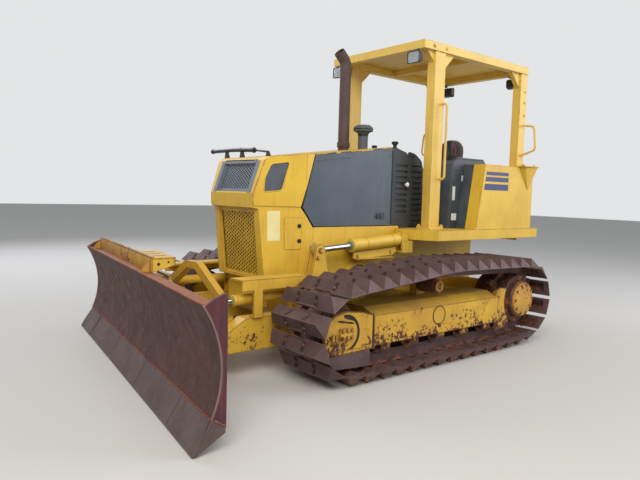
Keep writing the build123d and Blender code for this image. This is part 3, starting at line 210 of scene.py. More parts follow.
# %% Ground-worn steel
def worn_steel(name, skin, dark, rust, rust_share=0.5, rust_mm=45, scratch_mm=0.0, edge_shine=0.5, metal=0.35,
               roughness=0.55, deep_rust=0.0, top_rust=0.0):
    """Bare steel with a brown skin, rust in patches, rubbed edges and, if asked, upright scratches."""
    scratched, rubbed, wet_soil, fresh_rust, rain_rust = "77666A", "9B8C86", "3A2722", "B8652C", "B06A3A"
    material, tree, shader = new_material(name)
    place = object_place(tree)
    cloud = ramp(tree, noise(tree, place, 230, 5.0, 0.62), 0.32, 0.68)
    patch = noise(tree, place, rust_mm, 8.0, 0.7)
    low = 0.80 - 0.45 * rust_share
    rusty = ramp(tree, patch, low, low + 0.10)
    colour = mix(tree, rusty, mix(tree, cloud, skin, dark), rust)
    if scratch_mm:
        scratch = noise(tree, stretched(tree, place, 0.06), scratch_mm, 6.0, 0.7)
        colour = mix(tree, ramp(tree, scratch, 0.5, 0.75, 0.0, 0.3), colour, scratched)
    if deep_rust:
        # Wet soil stays in the open hollows, which see little of the sky
        sky = put(tree, "ShaderNodeAmbientOcclusion", {"Distance": 90 * mm}, samples=8).outputs["AO"]
        hollow = ramp(tree, sky, 0.9, 0.45, 0.0, deep_rust)
        flake = combined(tree, "MULTIPLY", hollow, ramp(tree, cloud, 0.0, 1.0, 0.55, 1.0))
        colour = mix(tree, flake, colour, mix(tree, ramp(tree, patch, 0.46, 0.60), wet_soil, fresh_rust))
    if top_rust:
        # Rain stands on what faces up
        colour = mix(tree, combined(tree, "MULTIPLY", facing_up(tree, 0.5, 0.9, top_rust), patch), colour, rain_rust)
    feed(tree, shader, {"Base Color": mix(tree, at_edges(tree, 7, 0.99, 0.75, edge_shine), colour, rubbed),
                        "Metallic": ramp(tree, rusty, 0.0, 1.0, metal, 0.0),
                        "Roughness": ramp(tree, patch, 0.3, 0.7, roughness - 0.08, roughness + 0.3),
                        "Normal": bumped(tree, patch, 0.35, 1.2)})
    return material


shoe_steel = worn_steel("track_shoe_steel", "6C5757", "57423F", "8A4A2B", rust_share=0.38, edge_shine=0.35,
                        deep_rust=0.9)
blade_steel = worn_steel("blade_face_steel", "5E3A32", "47302B", "7E4630", rust_share=0.42, rust_mm=70, scratch_mm=22,
                         edge_shine=0.3, top_rust=1.0)
end_steel = worn_steel("blade_end_steel", "5E2A2B", "41222A", "8A4630", rust_share=0.42, rust_mm=80, scratch_mm=30,
                       edge_shine=0.35, metal=0.1)
edge_steel = worn_steel("cutting_edge_steel", "6A5856", "564645", "83503A", rust_share=0.25, rust_mm=35, scratch_mm=14)
roller_steel = worn_steel("roller_steel", "5B453B", "43332C", "A0582A", rust_share=0.62, edge_shine=0.3, metal=0.15,
                          deep_rust=0.8)
stack_steel = worn_steel("exhaust_steel", "5C4A4A", "4C3C3B", "6E4B3C", rust_share=0.30, rust_mm=30, edge_shine=0.15,
                         metal=0.05, roughness=0.62)
rust_bead = worn_steel("rusty_weld", "9A5630", "6E3E2A", "B0683A", rust_mm=12, edge_shine=0.0, metal=0.0,
                       roughness=0.85)
rubbed_steel = worn_steel("rubbed_steel", "A08880", "876A62", "8F5238", rust_share=0.1, rust_mm=20, edge_shine=0.2,
                          metal=0.7, roughness=0.4)
print("steels added, materials", len(bpy.data.materials))

# %% [markdown]
# ## Chrome, moulded plastic, rubber, glass and cloth
# Cylinder rods are hard chrome plate on ground steel: a true metal with a low roughness that a film of dust dulls in
# places. The console is moulded ABS with a fine grain of about 1.5 mm. The lamps have a pressed reflector behind glass.

# %% Smooth finishes
def hard_chrome():
    """Chrome plate, a little dulled by dust."""
    material, tree, shader = new_material("hard_chrome")
    film = noise(tree, object_place(tree), 30, 6.0)
    feed(tree, shader, {"Base Color": mix(tree, film, "D8DADC", "A9A8A4"), "Metallic": 1.0,
                        "Roughness": ramp(tree, film, 0.3, 0.7, 0.12, 0.32)})
    return material


def moulded(name, base, second, roughness=0.5, grain_mm=1.5, grain=0.15, dust=0.25, sheen=0.0):
    """Moulded or cast stuff with a fine grain, slow shade changes and dust on top."""
    material, tree, shader = new_material(name)
    place = object_place(tree)
    slow = noise(tree, place, 140, 4.0)
    colour = mix(tree, ramp(tree, slow, 0.35, 0.65), base, second)
    dusty = combined(tree, "MULTIPLY", facing_up(tree, 0.5, 1.0, dust), slow)
    feed(tree, shader, {"Base Color": mix(tree, dusty, colour, "8F8168"), "Sheen Weight": sheen,
                        "Roughness": ramp(tree, slow, 0.0, 1.0, roughness - 0.1, roughness + 0.12),
                        "Normal": bumped(tree, noise(tree, place, grain_mm), grain, 0.4)})
    return material


def lamp_glass():
    """Pressed glass with upright flutes."""
    material, tree, shader = new_material("lamp_glass")
    flutes = put(tree, "ShaderNodeTexWave", {"Vector": object_place(tree), "Scale": 1 / (22 * mm), "Distortion": 0.4},
                 bands_direction="Y").outputs["Fac"]
    feed(tree, shader, {"Base Color": linear("E8EDF2"), "Roughness": 0.08, "IOR": glass_ior,
                        "Transmission Weight": 0.75, "Normal": bumped(tree, flutes, 0.3, 0.8)})
    return material


chrome = hard_chrome()
console_plastic = moulded("moulded_abs_grey", "3C444B", "474F55", roughness=0.45)
cowl_plastic = moulded("cowl_black_enamel", "26292C", "34383B", grain_mm=6, grain=0.1)
cap_plastic = moulded("cleaner_cap_plastic", "4B5258", "585E62", roughness=0.55)
# Black enamel on black parts and dark joints; on the shield's slots and holes it is painted shade
black_enamel_and_painted_shade = moulded("black_enamel_and_painted_shade", "1B1C1E", "26272A", roughness=0.38, grain_mm=4, grain=0.08)
black_rubber = moulded("black_rubber", "17181A", "232323", roughness=0.75, grain_mm=2.5, grain=0.25)
mesh_enamel = moulded("mesh_dark_enamel", "666E78", "727983", grain_mm=3, grain=0.1, dust=0.35)
screen_enamel = moulded("screen_grey_enamel", "4A5058", "565C62", roughness=0.55, grain_mm=2, grain=0.3)
vinyl = {"roughness": 0.35, "grain_mm": 3, "grain": 0.03, "dust": 0.1}
label_film = moulded("label_vinyl_cream", "E9E2B0", "E2D48A", **vinyl)
stripe_film = moulded("stripe_vinyl_blue", "2A325F", "343D68", **vinyl)
white_film = moulded("label_vinyl_white", "DCDFE0", "CDD0D2", **vinyl)
reflector = moulded("lamp_reflector", "C9D0D6", "B4BCC4", roughness=0.2, grain_mm=9, grain=0.1, dust=0.0)
engine_iron = moulded("engine_cast_iron", "3A3B3C", "2C2B2A", roughness=0.7, grain_mm=3, grain=0.4)
gland_paint = moulded("gland_ring_verdigris", "6E8A78", "7F8F70", roughness=0.6, grain_mm=2, grain=0.2)
woven = {"roughness": 0.85, "grain_mm": 1.6, "grain": 0.5, "sheen": 0.3}
seat_fabric = moulded("seat_fabric_charcoal", "2F2B2E", "3B3336", **woven)
headrest_cloth = moulded("headrest_cloth_maroon", "5C2631", "6B303A", **woven)
core_black = moulded("radiator_black", "101112", "18191A", roughness=0.8, grain_mm=3, grain=0.2, dust=0.1)
# Dark soil colour: soil on the bars over the bearing blocks, painted shade in the frames' gaps, both in the shoe
# reliefs
soil_and_painted_shade = moulded("dried_soil_and_painted_shade", "2B2220", "3C2C26", roughness=0.95, grain_mm=5, grain=0.6, dust=0.1)
glass = lamp_glass()
print("materials", len(bpy.data.materials))

# %% [markdown]
# ## Which finish goes on which solid
# A solid keeps its mesh and its place, and only its material slot changes. The table below is the machine's paint
# list: cleaner yellow high up, chipped yellow on the arms, rusty yellow on the track frames.

# %% Give every solid its finish
finishes = {
    yellow_enamel: ["nose_shell", "hood_top", "lower_grille", "platform", "rear_fenders", "fuel_tank", "main_frame",
                    "lift_barrel_left", "lift_barrel_right"],
    canopy_enamel: ["canopy", "handrails"],
    frame_enamel: ["track_frame_left", "track_frame_right", "drawbar"],
    arm_enamel: ["c_frame", "blade_yoke", "angle_barrel_left", "angle_barrel_right", "tilt_barrel"],
    grey_enamel: ["engine_door_left", "engine_door_right"],
    shoe_steel: ["track_left", "track_right"],
    roller_steel: ["track_rollers", "idlers", "sprockets"],
    blade_steel: ["blade"],
    edge_steel: ["cutting_edge"],
    stack_steel: ["exhaust_stack"],
    chrome: ["lift_rod_left", "lift_rod_right", "angle_rod_left", "angle_rod_right", "tilt_rod"],
    console_plastic: ["consoles"],
    cap_plastic: ["pre_cleaner"],
    cowl_plastic: ["dash_cowl"],
    black_enamel_and_painted_shade: ["seat_base", "control_levers", "work_lamps"],
    mesh_enamel: ["upper_grille"],
    engine_iron: ["engine_block"],
    black_rubber: ["seat_cushion", "seat_back"],
}
for material, names in finishes.items():
    for name in names:
        slots = nodes[name].material_slots
        for slot in slots:
            slot.material = material
        if not slots:
            nodes[name].data.materials.append(material)
dressed = {name for names in finishes.values() for name in names}
print("solids with a finish", len(dressed), "without", sorted(set(nodes) - dressed))

# %% [markdown]
# ## Punched grilles
# The radiator breathes through two sheets. The lower one is yellow with round holes of 19 mm, 30 mm apart, and the
# upper one is dark with six-sided holes of 17 mm, 24 mm apart, in the same staggered pattern. A transparency picture
# would be lighter, but real holes keep the dark space behind and survive an export. Each hole sits in its own
# six-sided cell. A ring of quads joins the cell's edge to the hole's edge on both faces, and a wall goes through. A
# flat border hides the cut cells.

# %% From a mesh in millimetres to a piece
def piece(name, shape, material, body="chassis", smooth_deg=0, replaces=()):
    """Turns a bmesh in millimetres into an object that moves with a body."""
    mesh = bpy.data.meshes.new(name)
    bmesh.ops.recalc_face_normals(shape, faces=shape.faces)
    bmesh.ops.scale(shape, vec=(mm, mm, mm), verts=shape.verts)
    shape.to_mesh(mesh)
    shape.free()
    mesh.materials.append(material)
    if smooth_deg:
        mesh.shade_smooth()
        mesh.set_sharp_from_angle(angle=math.radians(smooth_deg))
    thing = bpy.data.objects.new(name, mesh)
    bpy.context.scene.collection.objects.link(thing)
    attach(thing, body)
    if replaces:
        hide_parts(*replaces)
    return thing


def add_prism(shape, outline, depth):
    """A plate: a closed outline of points, thickened along a vector."""
    front = [shape.verts.new(Vector(point)) for point in outline]
    back = [shape.verts.new(Vector(point) + Vector(depth)) for point in outline]
    shape.faces.new(front)
    shape.faces.new(list(reversed(back)))
    for i, j in zip(range(len(front)), list(range(1, len(front))) + [0]):
        shape.faces.new((front[i], front[j], back[j], back[i]))


def add_plate(shape, outline, y, thickness):
    """A plate with an (x, z) outline, thickened along Y."""
    add_prism(shape, [(x, y, z) for x, z in outline], (0, thickness, 0))


def on_circle(centre, reach, degrees):
    """The two coordinates of a point on a circle."""
    turn = math.radians(degrees)
    return centre[0] + reach * math.cos(turn), centre[1] + reach * math.sin(turn)


print("mesh helpers ready")

# %% Punched sheets
sheet_thickness, sheet_border, border_proud = 4, 30, 1.5
lower_step, upper_step = 30, 24


def six_sided(step):
    """The cell of a staggered pattern whose holes lie 'step' apart up the sheet, as (degrees, reach)."""
    return [(30 * k, step / 2 if k % 2 else step / math.sqrt(3)) for k in range(12)]


def punched_sheet(name, low, high, half_width, step, hole, material, node):
    """A leaning sheet between two (x, z) ends with holes 'step' apart; 'hole' is a ring of (degrees, reach)."""
    start, end = Vector((low[0], 0, low[1])), Vector((high[0], 0, high[1]))
    upward, tall = (end - start).normalized(), (end - start).length
    inward = upward.cross(Vector((0, 1, 0)))
    shape, shared = bmesh.new(), {}

    def corner(point, depth):
        """The vertex at a (y, up) point of the sheet; neighbours share it."""
        y, up = point
        key = (round(y, 1), round(up, 1), depth)
        if key not in shared:
            shared[key] = shape.verts.new(start + upward * up + Vector((0, y, 0)) + inward * depth)
        return shared[key]

    pitch, row_step, margin = step * math.sqrt(3), step / 2, sheet_border * 0.6
    columns, holes = int((half_width - margin) / pitch), 0
    for row in range(int((tall - 2 * margin) / row_step) + 1):
        for column in range(-columns, columns + 1):
            middle = (column * pitch + (pitch / 2 if row % 2 else 0.0), margin + row * row_step)
            outer, inner = [[on_circle(middle, reach, angle) for angle, reach in ring]
                            for ring in (six_sided(step), hole)]
            holes += 1
            for k in range(len(hole)):
                j = (k + 1) % len(hole)
                for depth in (0.0, sheet_thickness):
                    shape.faces.new([corner(p, depth) for p in (outer[k], outer[j], inner[j], inner[k])])
                wall = ((inner[k], 0.0), (inner[j], 0.0), (inner[j], sheet_thickness), (inner[k], sheet_thickness))
                shape.faces.new([corner(p, depth) for p, depth in wall])
    inside = half_width - sheet_border
    for low_y, high_y, low_up, high_up in (
            (-half_width, -inside, 0, tall), (inside, half_width, 0, tall),
            (-inside, inside, 0, sheet_border), (-inside, inside, tall - sheet_border, tall)):
        strip = [start + upward * u + Vector((0, y, 0)) - inward * border_proud
                 for y, u in ((low_y, low_up), (high_y, low_up), (high_y, high_up), (low_y, high_up))]
        add_prism(shape, strip, inward * (sheet_thickness + border_proud))
    print(name, "holes", holes)
    piece(name, shape, material, replaces=(node,))


round_hole = [(30 * k, 9.6) for k in range(12)]
hex_hole = [(angle, reach * 0.70) for angle, reach in six_sided(upper_step)]
punched_sheet("lower_grille_sheet", (915.5, 656), (971.5, 1202), 272, lower_step, round_hole, yellow_enamel,
              "lower_grille")
punched_sheet("upper_grille_mesh", (1012, 1329), (924.5, 1579), 252, upper_step, hex_hole, mesh_enamel,
              "upper_grille")
surround = bmesh.new()
rim_low, rim_high, rim_out = Vector((1032, 0, 1325)), Vector((942, 0, 1585)), Vector((0.945, 0, 0.327))
rim_proud, opening = 2.4, 240
for low_y, high_y, low_share in ((opening, 284, 0.02), (-284, -opening, 0.02), (-opening, opening, 0.91)):
    ends = [(low_y, low_share), (high_y, low_share), (high_y, 0.98), (low_y, 0.98)]
    strip = [rim_low.lerp(rim_high, share) + rim_out * rim_proud + Vector((0, y, 0)) for y, share in ends]
    add_prism(surround, strip, rim_out * -2)
for side in (1, -1):
    wall = [(rim_low, rim_proud), (rim_high, rim_proud), (rim_high, -20), (rim_low, -20)]
    add_prism(surround, [p + rim_out * out + Vector((0, side * opening, 0)) for p, out in wall], (0, -side * 2, 0))
piece("upper_grille_surround", surround, mesh_enamel)

# %% [markdown]
# ## The nose: windows, covers and a blank label
# The nose tapers in plan, so whatever lies on its sides has to lean with it. One function gives a point on that side
# and how far out it stands, and every small plate on the nose uses it. The upper half of each side is a separate
# panel that stands a little proud, with a window whose front leans like the nose. The window's dark screen lies at
# the bottom of the opening. Rays from the window's middle find the points that join its rim to the panel's. A flush
# cover with two round quarter-turn latches closes the coolant drain.

# %% Plates on the nose's sides
taper_start, taper_end = Vector((600, 430)), Vector((985, 330))


def flank(x, z, side, out=0.0):
    """A point on the nose's left (1) or right (-1) side, and 'out' millimetres off it."""
    slope = (taper_end - taper_start) / (taper_end.x - taper_start.x)
    y = taper_start.y + max(0.0, x - taper_start.x) * slope.y
    normal = Vector((-slope.y, 1, 0)).normalized() if x > taper_start.x else Vector((0, 1, 0))
    return Vector((x + normal.x * out, side * (y + normal.y * out), z))


def rounded(corners, radius, steps=4):
    """A closed 2-D outline with rounded corners."""
    points = []
    for i, here in enumerate(map(Vector, corners)):
        before, after = Vector(corners[i - 1]), Vector(corners[(i + 1) % len(corners)])
        start, end = (here + (other - here).normalized() * radius for other in (before, after))
        for k in range(steps + 1):
            t = k / steps
            points.append(start.lerp(here, t).lerp(here.lerp(end, t), t))
    return points


def add_tube(shape, points, radius, sides=10, closed=False):
    """A round bar along a chain of points; 'radius' may be a list."""
    points = [Vector(p) for p in points]
    count, rings, normal = len(points), [], None
    for i, point in enumerate(points):
        before = points[i - 1] if i or closed else point
        after = points[(i + 1) % count] if i < count - 1 or closed else point
        along = (after - before).normalized()
        normal = along.orthogonal() if normal is None else normal - along * normal.dot(along)
        normal.normalize()
        other = along.cross(normal)
        reach = radius[i] if isinstance(radius, list) else radius
        turns = [2 * math.pi * k / sides for k in range(sides)]
        rings.append([shape.verts.new(point + (normal * math.cos(a) + other * math.sin(a)) * reach) for a in turns])
    for lower, upper in list(zip(rings, rings[1:])) + ([(rings[-1], rings[0])] if closed else []):
        for k in range(sides):
            j = (k + 1) % sides
            shape.faces.new((lower[k], lower[j], upper[j], upper[k]))
    if not closed:
        shape.faces.new(list(reversed(rings[0])))
        shape.faces.new(rings[-1])


window = [(803, 1351), (948, 1336), (941, 1444), (893, 1555), (741, 1578)]
panel = [(602, 1366), (643, 1226), (1025, 1230), (1029, 1322), (940, 1582), (904, 1608), (602, 1646)]
panel_rear = [(602, 1366), (602, 1646), (526, 1652), (526, 1636)]
cover = [(634, 890), (772, 887), (778, 1147), (629, 1141)]
label = [(808, 958), (910, 959), (914, 1192), (811, 1193)]


def reach_along(outline, middle, angle):
    """Where a ray from 'middle' leaves a closed outline."""
    ray = Vector((math.cos(angle), math.sin(angle)))
    for i, end in enumerate(outline):
        start = Vector(outline[i - 1]) - middle
        edge = Vector(end) - middle - start
        turn = ray.x * edge.y - ray.y * edge.x
        if abs(turn) > 1e-9:
            share = (start.x * ray.y - start.y * ray.x) / turn
            reach = (start.x * edge.y - start.y * edge.x) / turn
            if reach > 0 and -1e-6 <= share <= 1 + 1e-6:
                return middle + ray * reach
    return middle


screens, lips, covers, labels, panels = (bmesh.new() for _ in range(5))
middle, rim = Vector((866, 1450)), rounded(window, 26, 6)
for side in (1, -1):
    inward = flank(800, 0, side) - flank(800, 0, side, 1)
    corners = [tuple(point) for point in rim] + panel
    angles = sorted({round(math.atan2(z - middle.y, x - middle.x), 5) for x, z in corners})
    rings = [[panels.verts.new(flank(*reach_along(outline, middle, a), side, out)) for a in angles]
             for outline, out in ((panel, 0.4), (panel, 6), (rim, 6), (rim, 0.4))]
    for lower, upper in zip(rings, rings[1:] + rings[:1]):
        for k in range(len(angles)):
            j = (k + 1) % len(angles)
            panels.faces.new((lower[k], lower[j], upper[j], upper[k]))
    add_plate(panels, panel_rear, side * 436, -side * 5.6)
    add_prism(screens, [flank(*p, side, 1.6) for p in rounded(window, 24, 6)], inward * 1.2)
    add_tube(lips, [flank(*p, side, 5) for p in rim], 5, 8, closed=True)
    add_prism(covers, [flank(*p, side, 3.5) for p in rounded(cover, 16)], inward * 3.3)
add_prism(labels, [flank(*p, 1, 1.2) for p in rounded(label, 8)], flank(900, 0, 1) - flank(900, 0, 1, 1))
piece("side_window_screens", screens, screen_enamel)
piece("side_window_panels", panels, yellow_enamel)
piece("side_window_lips", lips, yellow_enamel, smooth_deg=60)
piece("drain_covers", covers, yellow_enamel)
piece("blank_label_nose", labels, label_film)
print("nose plates added")

# %% [markdown]
# ## The radiator behind the grilles
# Through the holes one sees the radiator, a dark core of thin upright fins that leans like the sheets before it. Fins
# of 2 mm side by side would be too many, so every fourth one is made, and the gaps stay dark.

# %% Radiator core
core = bmesh.new()
for (low_x, low_z), (high_x, high_z) in (((893, 672), (944, 1188)), ((972, 1340), (893, 1562))):
    for y in range(-233, 232, 8):
        outline = [(low_x, y, low_z), (low_x + 8, y, low_z), (high_x + 8, y, high_z), (high_x, y, high_z)]
        add_prism(core, outline, (0, 2, 0))
    back = [(low_x, -236, low_z), (low_x, 236, low_z), (high_x, 236, high_z), (high_x, -236, high_z)]
    add_prism(core, back, (-3, 0, 0))
piece("radiator_core", core, core_black)
print("radiator core added")

# %% [markdown]
# ## Latches, the stay on the hood and bolts
# Turned things such as latches, bolts and caps come from one lathe function. A matrix puts the lathe's axis where the
# thing points. Bolt heads are hexagons with a chamfer on a round washer, as on the machine.

# %% Lathe and bolts
def frame_at(place, outward):
    """A matrix whose Z points outward at a place."""
    z = Vector(outward).normalized()
    x = Vector((0, 0, 1)).cross(z)
    if x.length < 1e-4:
        x = Vector((1, 0, 0))
    x.normalize()
    return Matrix.Translation(place) @ Matrix((x, z.cross(x), z)).transposed().to_4x4()


def add_lathe(shape, place, outward, profile, sides=20):
    """Turns a profile of (radius, height) round the outward axis."""
    matrix, rings = frame_at(place, outward), []
    for radius, height in profile:
        turns = [2 * math.pi * k / sides for k in range(sides)] if radius > 0.01 else [0.0]
        rings.append([shape.verts.new(matrix @ Vector((radius * math.cos(a), radius * math.sin(a), height)))
                      for a in turns])
    for lower, upper in zip(rings, rings[1:]):
        for k in range(sides):
            j = (k + 1) % sides
            ring = [lower[k % len(lower)], lower[j % len(lower)], upper[j % len(upper)], upper[k % len(upper)]]
            ring = [v for i, v in enumerate(ring) if v not in ring[:i]]
            if len(ring) > 2:
                shape.faces.new(ring)


def add_bolt(shape, place, outward, head=24, height=14):
    """A chamfered hexagon head on a washer; 'head' is the width across the flats."""
    corner = head / 2 / math.cos(math.pi / 6)
    add_lathe(shape, place, outward, [(0, 0), (head * 0.7, 0), (head * 0.7, 3), (0, 3)], 14)
    add_lathe(shape, place, outward, [(corner, 3), (corner, height - 2), (corner * 0.86, height), (0, height)], 6)


def add_block(shape, first, second, bevel=2.0):
    """A box between two opposite corners with rounded edges."""
    low, high = (Vector([pick(pair) for pair in zip(first, second)]) for pick in (min, max))
    matrix = Matrix.Translation((low + high) / 2) @ Matrix.Diagonal((*(high - low), 1))
    made = bmesh.ops.create_cube(shape, size=1.0, matrix=matrix)["verts"]
    if bevel:
        edges = list({edge for vert in made for edge in vert.link_edges})
        bmesh.ops.bevel(shape, geom=edges, offset=bevel, segments=2, affect="EDGES", profile=0.6)


latches, stay, knob = (bmesh.new() for _ in range(3))
latch_profile = [(0, 0), (17, 0), (17, 5), (14, 8), (9, 8), (8, 5), (0, 5)]
for side in (1, -1):
    outward = flank(650, 0, side, 1) - flank(650, 0, side)
    for x, z in ((652, 1076), (650, 957)):
        add_lathe(latches, flank(x, z, side, 3), outward, latch_profile)
piece("cover_latches", latches, black_enamel_and_painted_shade, smooth_deg=35)
# A black stay bar lies on two brackets over the front of the hood; a third holds the thinner rod out of its left end
stay_x, stay_z = 880, 1672
add_tube(stay, [(stay_x, -560, stay_z + 6), (stay_x, -200, stay_z + 8), (stay_x, 90, stay_z - 2)], 17, 14)
add_tube(stay, [(stay_x, 88, stay_z - 2), (stay_x, 300, stay_z - 22)], 8, 12)
add_lathe(stay, (stay_x, 84, stay_z - 2), (0, 1, -0.06), [(0, 0), (22, 0), (22, 16), (19, 19), (0, 19)])
add_lathe(stay, (stay_x, -556, stay_z + 6), (0, -1, 0), [(0, 0), (21, 0), (21, 12), (10, 18), (10, 34), (0, 36)])
for y in (-330, -90, 288):
    lift = stay_z + 8 if y < 0 else stay_z - 20
    outline = [(stay_x - 30, y, 1612), (stay_x + 22, y, 1606), (stay_x + 12, y, lift), (stay_x - 12, y, lift)]
    add_prism(stay, outline, (0, 8, 0))
piece("hood_stay", stay, black_enamel_and_painted_shade, smooth_deg=35)
add_lathe(knob, (stay_x, -105, stay_z + 22), (0.5, 0.2, 1), [(0, -6), (10, -6), (12, 0), (9, 8), (0, 11)], 14)
piece("stay_knob", knob, white_film, smooth_deg=50)
print("latches, stay and knob added")

# %% [markdown]
# ## The blade's worn front
# A blade is a rolled moldboard between two end plates, with a bolted cutting edge below. Soil wears a bright arc on the
# end plates' front edges, while their outer faces keep a maroon skin. A rusty weld runs along the foot of the
# moldboard. The weld is a tube whose radius changes a little every 12 mm, as a hand-laid bead does. All of it is drawn
# in the blade's own axes and then turned to the angle at which the blade stands.

# %% The blade's profile and its edges
blade_angle, blade_x = math.radians(-8.8), 1666
blade_half, foot, belly, crown = 1625, (158, 180), (108, 490), (206, 770)
blade_turn = Matrix.Translation((blade_x, 0, 0)) @ Matrix.Rotation(blade_angle, 4, "Z")


def on_blade(shape):
    """Turns what was drawn in the blade's axes to the blade's place."""
    bmesh.ops.transform(shape, matrix=blade_turn, verts=shape.verts)
    return shape


def face_x(z):
    """How far forward the moldboard's face lies at a height, from the circle through its three points."""
    (ax, az), (bx, bz), (cx, cz) = foot, belly, crown
    d = 2 * (ax * (bz - cz) + bx * (cz - az) + cx * (az - bz))
    squares = [x * x + y * y for x, y in (foot, belly, crown)]
    ux = (squares[0] * (bz - cz) + squares[1] * (cz - az) + squares[2] * (az - bz)) / d
    uz = (squares[0] * (cx - bx) + squares[1] * (ax - cx) + squares[2] * (bx - ax)) / d
    return ux - math.sqrt((ax - ux) ** 2 + (az - uz) ** 2 - (z - uz) ** 2)


levels = [foot[1] + (crown[1] - foot[1]) * i / 20 for i in range(21)]
arc = [(face_x(z), z) for z in levels]
skins, rubbed, bead, peaks = (bmesh.new() for _ in range(4))
for side in (1, -1):
    outer = side * blade_half
    end_outline = arc + [(150, 806), (96, 829), (82, 800), (82, 134), (96, 136), (136, 178)]
    add_plate(skins, end_outline, outer, side * 1.5)
    add_tube(rubbed, [(x + 1, outer - side * 8, z) for x, z in arc], 7, 8)
    peak = [(200, 768), (150, 806), (96, 829), (82, 790)]
    add_plate(peaks, peak, outer - side * 20, side * 20)
count = 260
bead_points = [(foot[0] + 3, -1600 + 3200 * i / count, foot[1] + random.uniform(-1.5, 1.5)) for i in range(count + 1)]
add_tube(bead, bead_points, [3 + 1.4 * (i % 2) + random.uniform(-1.4, 1.2) for i in range(count + 1)], 7)
piece("end_plate_skins", on_blade(skins), end_steel, "blade")
piece("end_plate_peaks", on_blade(peaks), end_steel, "blade")
piece("rubbed_end_edges", on_blade(rubbed), rubbed_steel, "blade", smooth_deg=60)
piece("moldboard_weld", on_blade(bead), rust_bead, "blade", smooth_deg=60)
print("blade face x at its belly", round(face_x(490), 1))

# %% [markdown]
# ## The cutting edge's joints and end bits
# The edge is a row of hardened plates that are unbolted and turned over when they wear. A dark joint shows between two
# plates. The end bits are a thicker plate on each end, with a cheek that closes the corner below the end plate and a
# rusty weld along its top. The moldboard's top edge carries a line of rust, because rain stands there.

# %% Cutting edge details
edge_tip, edge_heel = Vector((262, 0, 4)), Vector((158, 0, 180))
down = (edge_tip - edge_heel).normalized()
edge_out = Vector((-down.z, 0, down.x))
joints_dark, bits = bmesh.new(), bmesh.new()
for y in (-1160, -390, 390, 1160):
    ends = [edge_heel + down * share + Vector((0, y + shift, 0)) + edge_out * 0.8
            for share, shift in ((6, -2), (6, 2), (196, 2), (196, -2))]
    add_prism(joints_dark, ends, edge_out * -0.7)
for side in (1, -1):
    corners = [(8, 1180), (8, 1600), (150, 1626), (199, 1626), (199, 1205)]
    outline = [edge_heel + down * share + Vector((0, side * y, 0)) + edge_out * 5 for share, y in corners]
    add_prism(bits, outline, edge_out * -4.9)
cheek_weld = bmesh.new()
for side in (1, -1):
    cheek = [(156, 178), (259, 8), (236, 6), (84, 106), (84, 140)]
    add_plate(bits, cheek, side * 1604, side * 20)
    seam = [(150 - 66 * i / 16, side * 1625, 178 - 37 * i / 16 + random.uniform(-2, 2)) for i in range(17)]
    add_tube(cheek_weld, seam, [4 + random.uniform(-1, 1.5) for _ in range(17)], 6)
piece("end_bit_welds", on_blade(cheek_weld), rust_bead, "blade", smooth_deg=60)
piece("edge_joints", on_blade(joints_dark), black_enamel_and_painted_shade, "blade")
piece("end_bits", on_blade(bits), edge_steel, "blade")
top_line = bmesh.new()
count = 160
line = [(crown[0] - 2, -1604 + 3208 * i / count, crown[1] + random.uniform(-1, 1)) for i in range(count + 1)]
add_tube(top_line, line, [5 + random.uniform(-1.5, 1.5) for _ in range(count + 1)], 6)
piece("top_edge_rust", on_blade(top_line), rust_bead, "blade", smooth_deg=60)
print("cutting edge details added")

# %% [markdown]
# ## Spill plate, cylinder shield and the C-frame's mast
# Behind the moldboard's top edge stands a spill plate that keeps rocks off the hood. A folded shield covers the tilt
# cylinder: two walls, a rear wall and a slotted top. On the C-frame two slanted legs form a mast in front of the nose.
# They are plate work, so they are prisms with small bevels where a hand would feel a fold. The shield's slots and
# the two round holes in its side are not cut: thin black plates and discs on its faces paint their shade.

# %% Spill plate, shield and mast
spill, shield, mast, slots = (bmesh.new() for _ in range(4))
add_block(spill, (104, -1490, 757), (114, 290, 858), 2)
add_tube(spill, [(98, -1490, 860), (98, 290, 860)], 9, 12)
for y in (-1478, 262):
    add_prism(spill, [(114, y, 757), (188, y, 764), (114, y, 850)], (0, 12, 0))
for y in (278, -235):
    add_prism(shield, [(104, y, 757), (104, y, 858), (-60, y, 858), (-60, y, 806), (20, y, 780)], (0, 12, 0))
add_block(shield, (-60, -235, 800), (-50, 290, 858), 2)
add_block(shield, (-62, -237, 852), (106, 292, 862), 3)
# Black plates on the lid and black discs on the side: painted shade of the slots and holes
for y in (-120, 20, 160):
    add_block(slots, (-20, y, 861), (74, y + 34, 863), 0)
for x, z, radius in ((60, 815, 11), (-10, 828, 8)):
    add_lathe(slots, (x, 290, z), (0, 1, 0), [(0, 0), (radius, 0), (radius, 0.8), (0, 0.8)], 16)
for side in (1, -1):
    leg = [(415, 431), (480, 431), (480, 560), (90, 786), (0, 786), (0, 730), (62, 730), (415, 524)]
    add_prism(mast, [(1320, side * y, z) for y, z in leg], (60, 0, 0))
piece("spill_plate", on_blade(spill), rusty_enamel, "blade", smooth_deg=35)
piece("cylinder_shield", on_blade(shield), arm_enamel, "blade")
piece("shield_slot_shade", on_blade(slots), black_enamel_and_painted_shade, "blade")
piece("c_frame_mast", mast, arm_enamel, "c_frame")
print("plate work added")

# %% [markdown]
# ## Cylinders: gland rings and pin keepers
# Where the chromed rod leaves the barrel, a threaded gland holds the seals. It stands a little proud of the barrel, and
# the wiper ring in its mouth has weathered to a grey green. Under each lift barrel a folded plate guards the hose, and
# the pin at the C-frame is kept by a bolt.

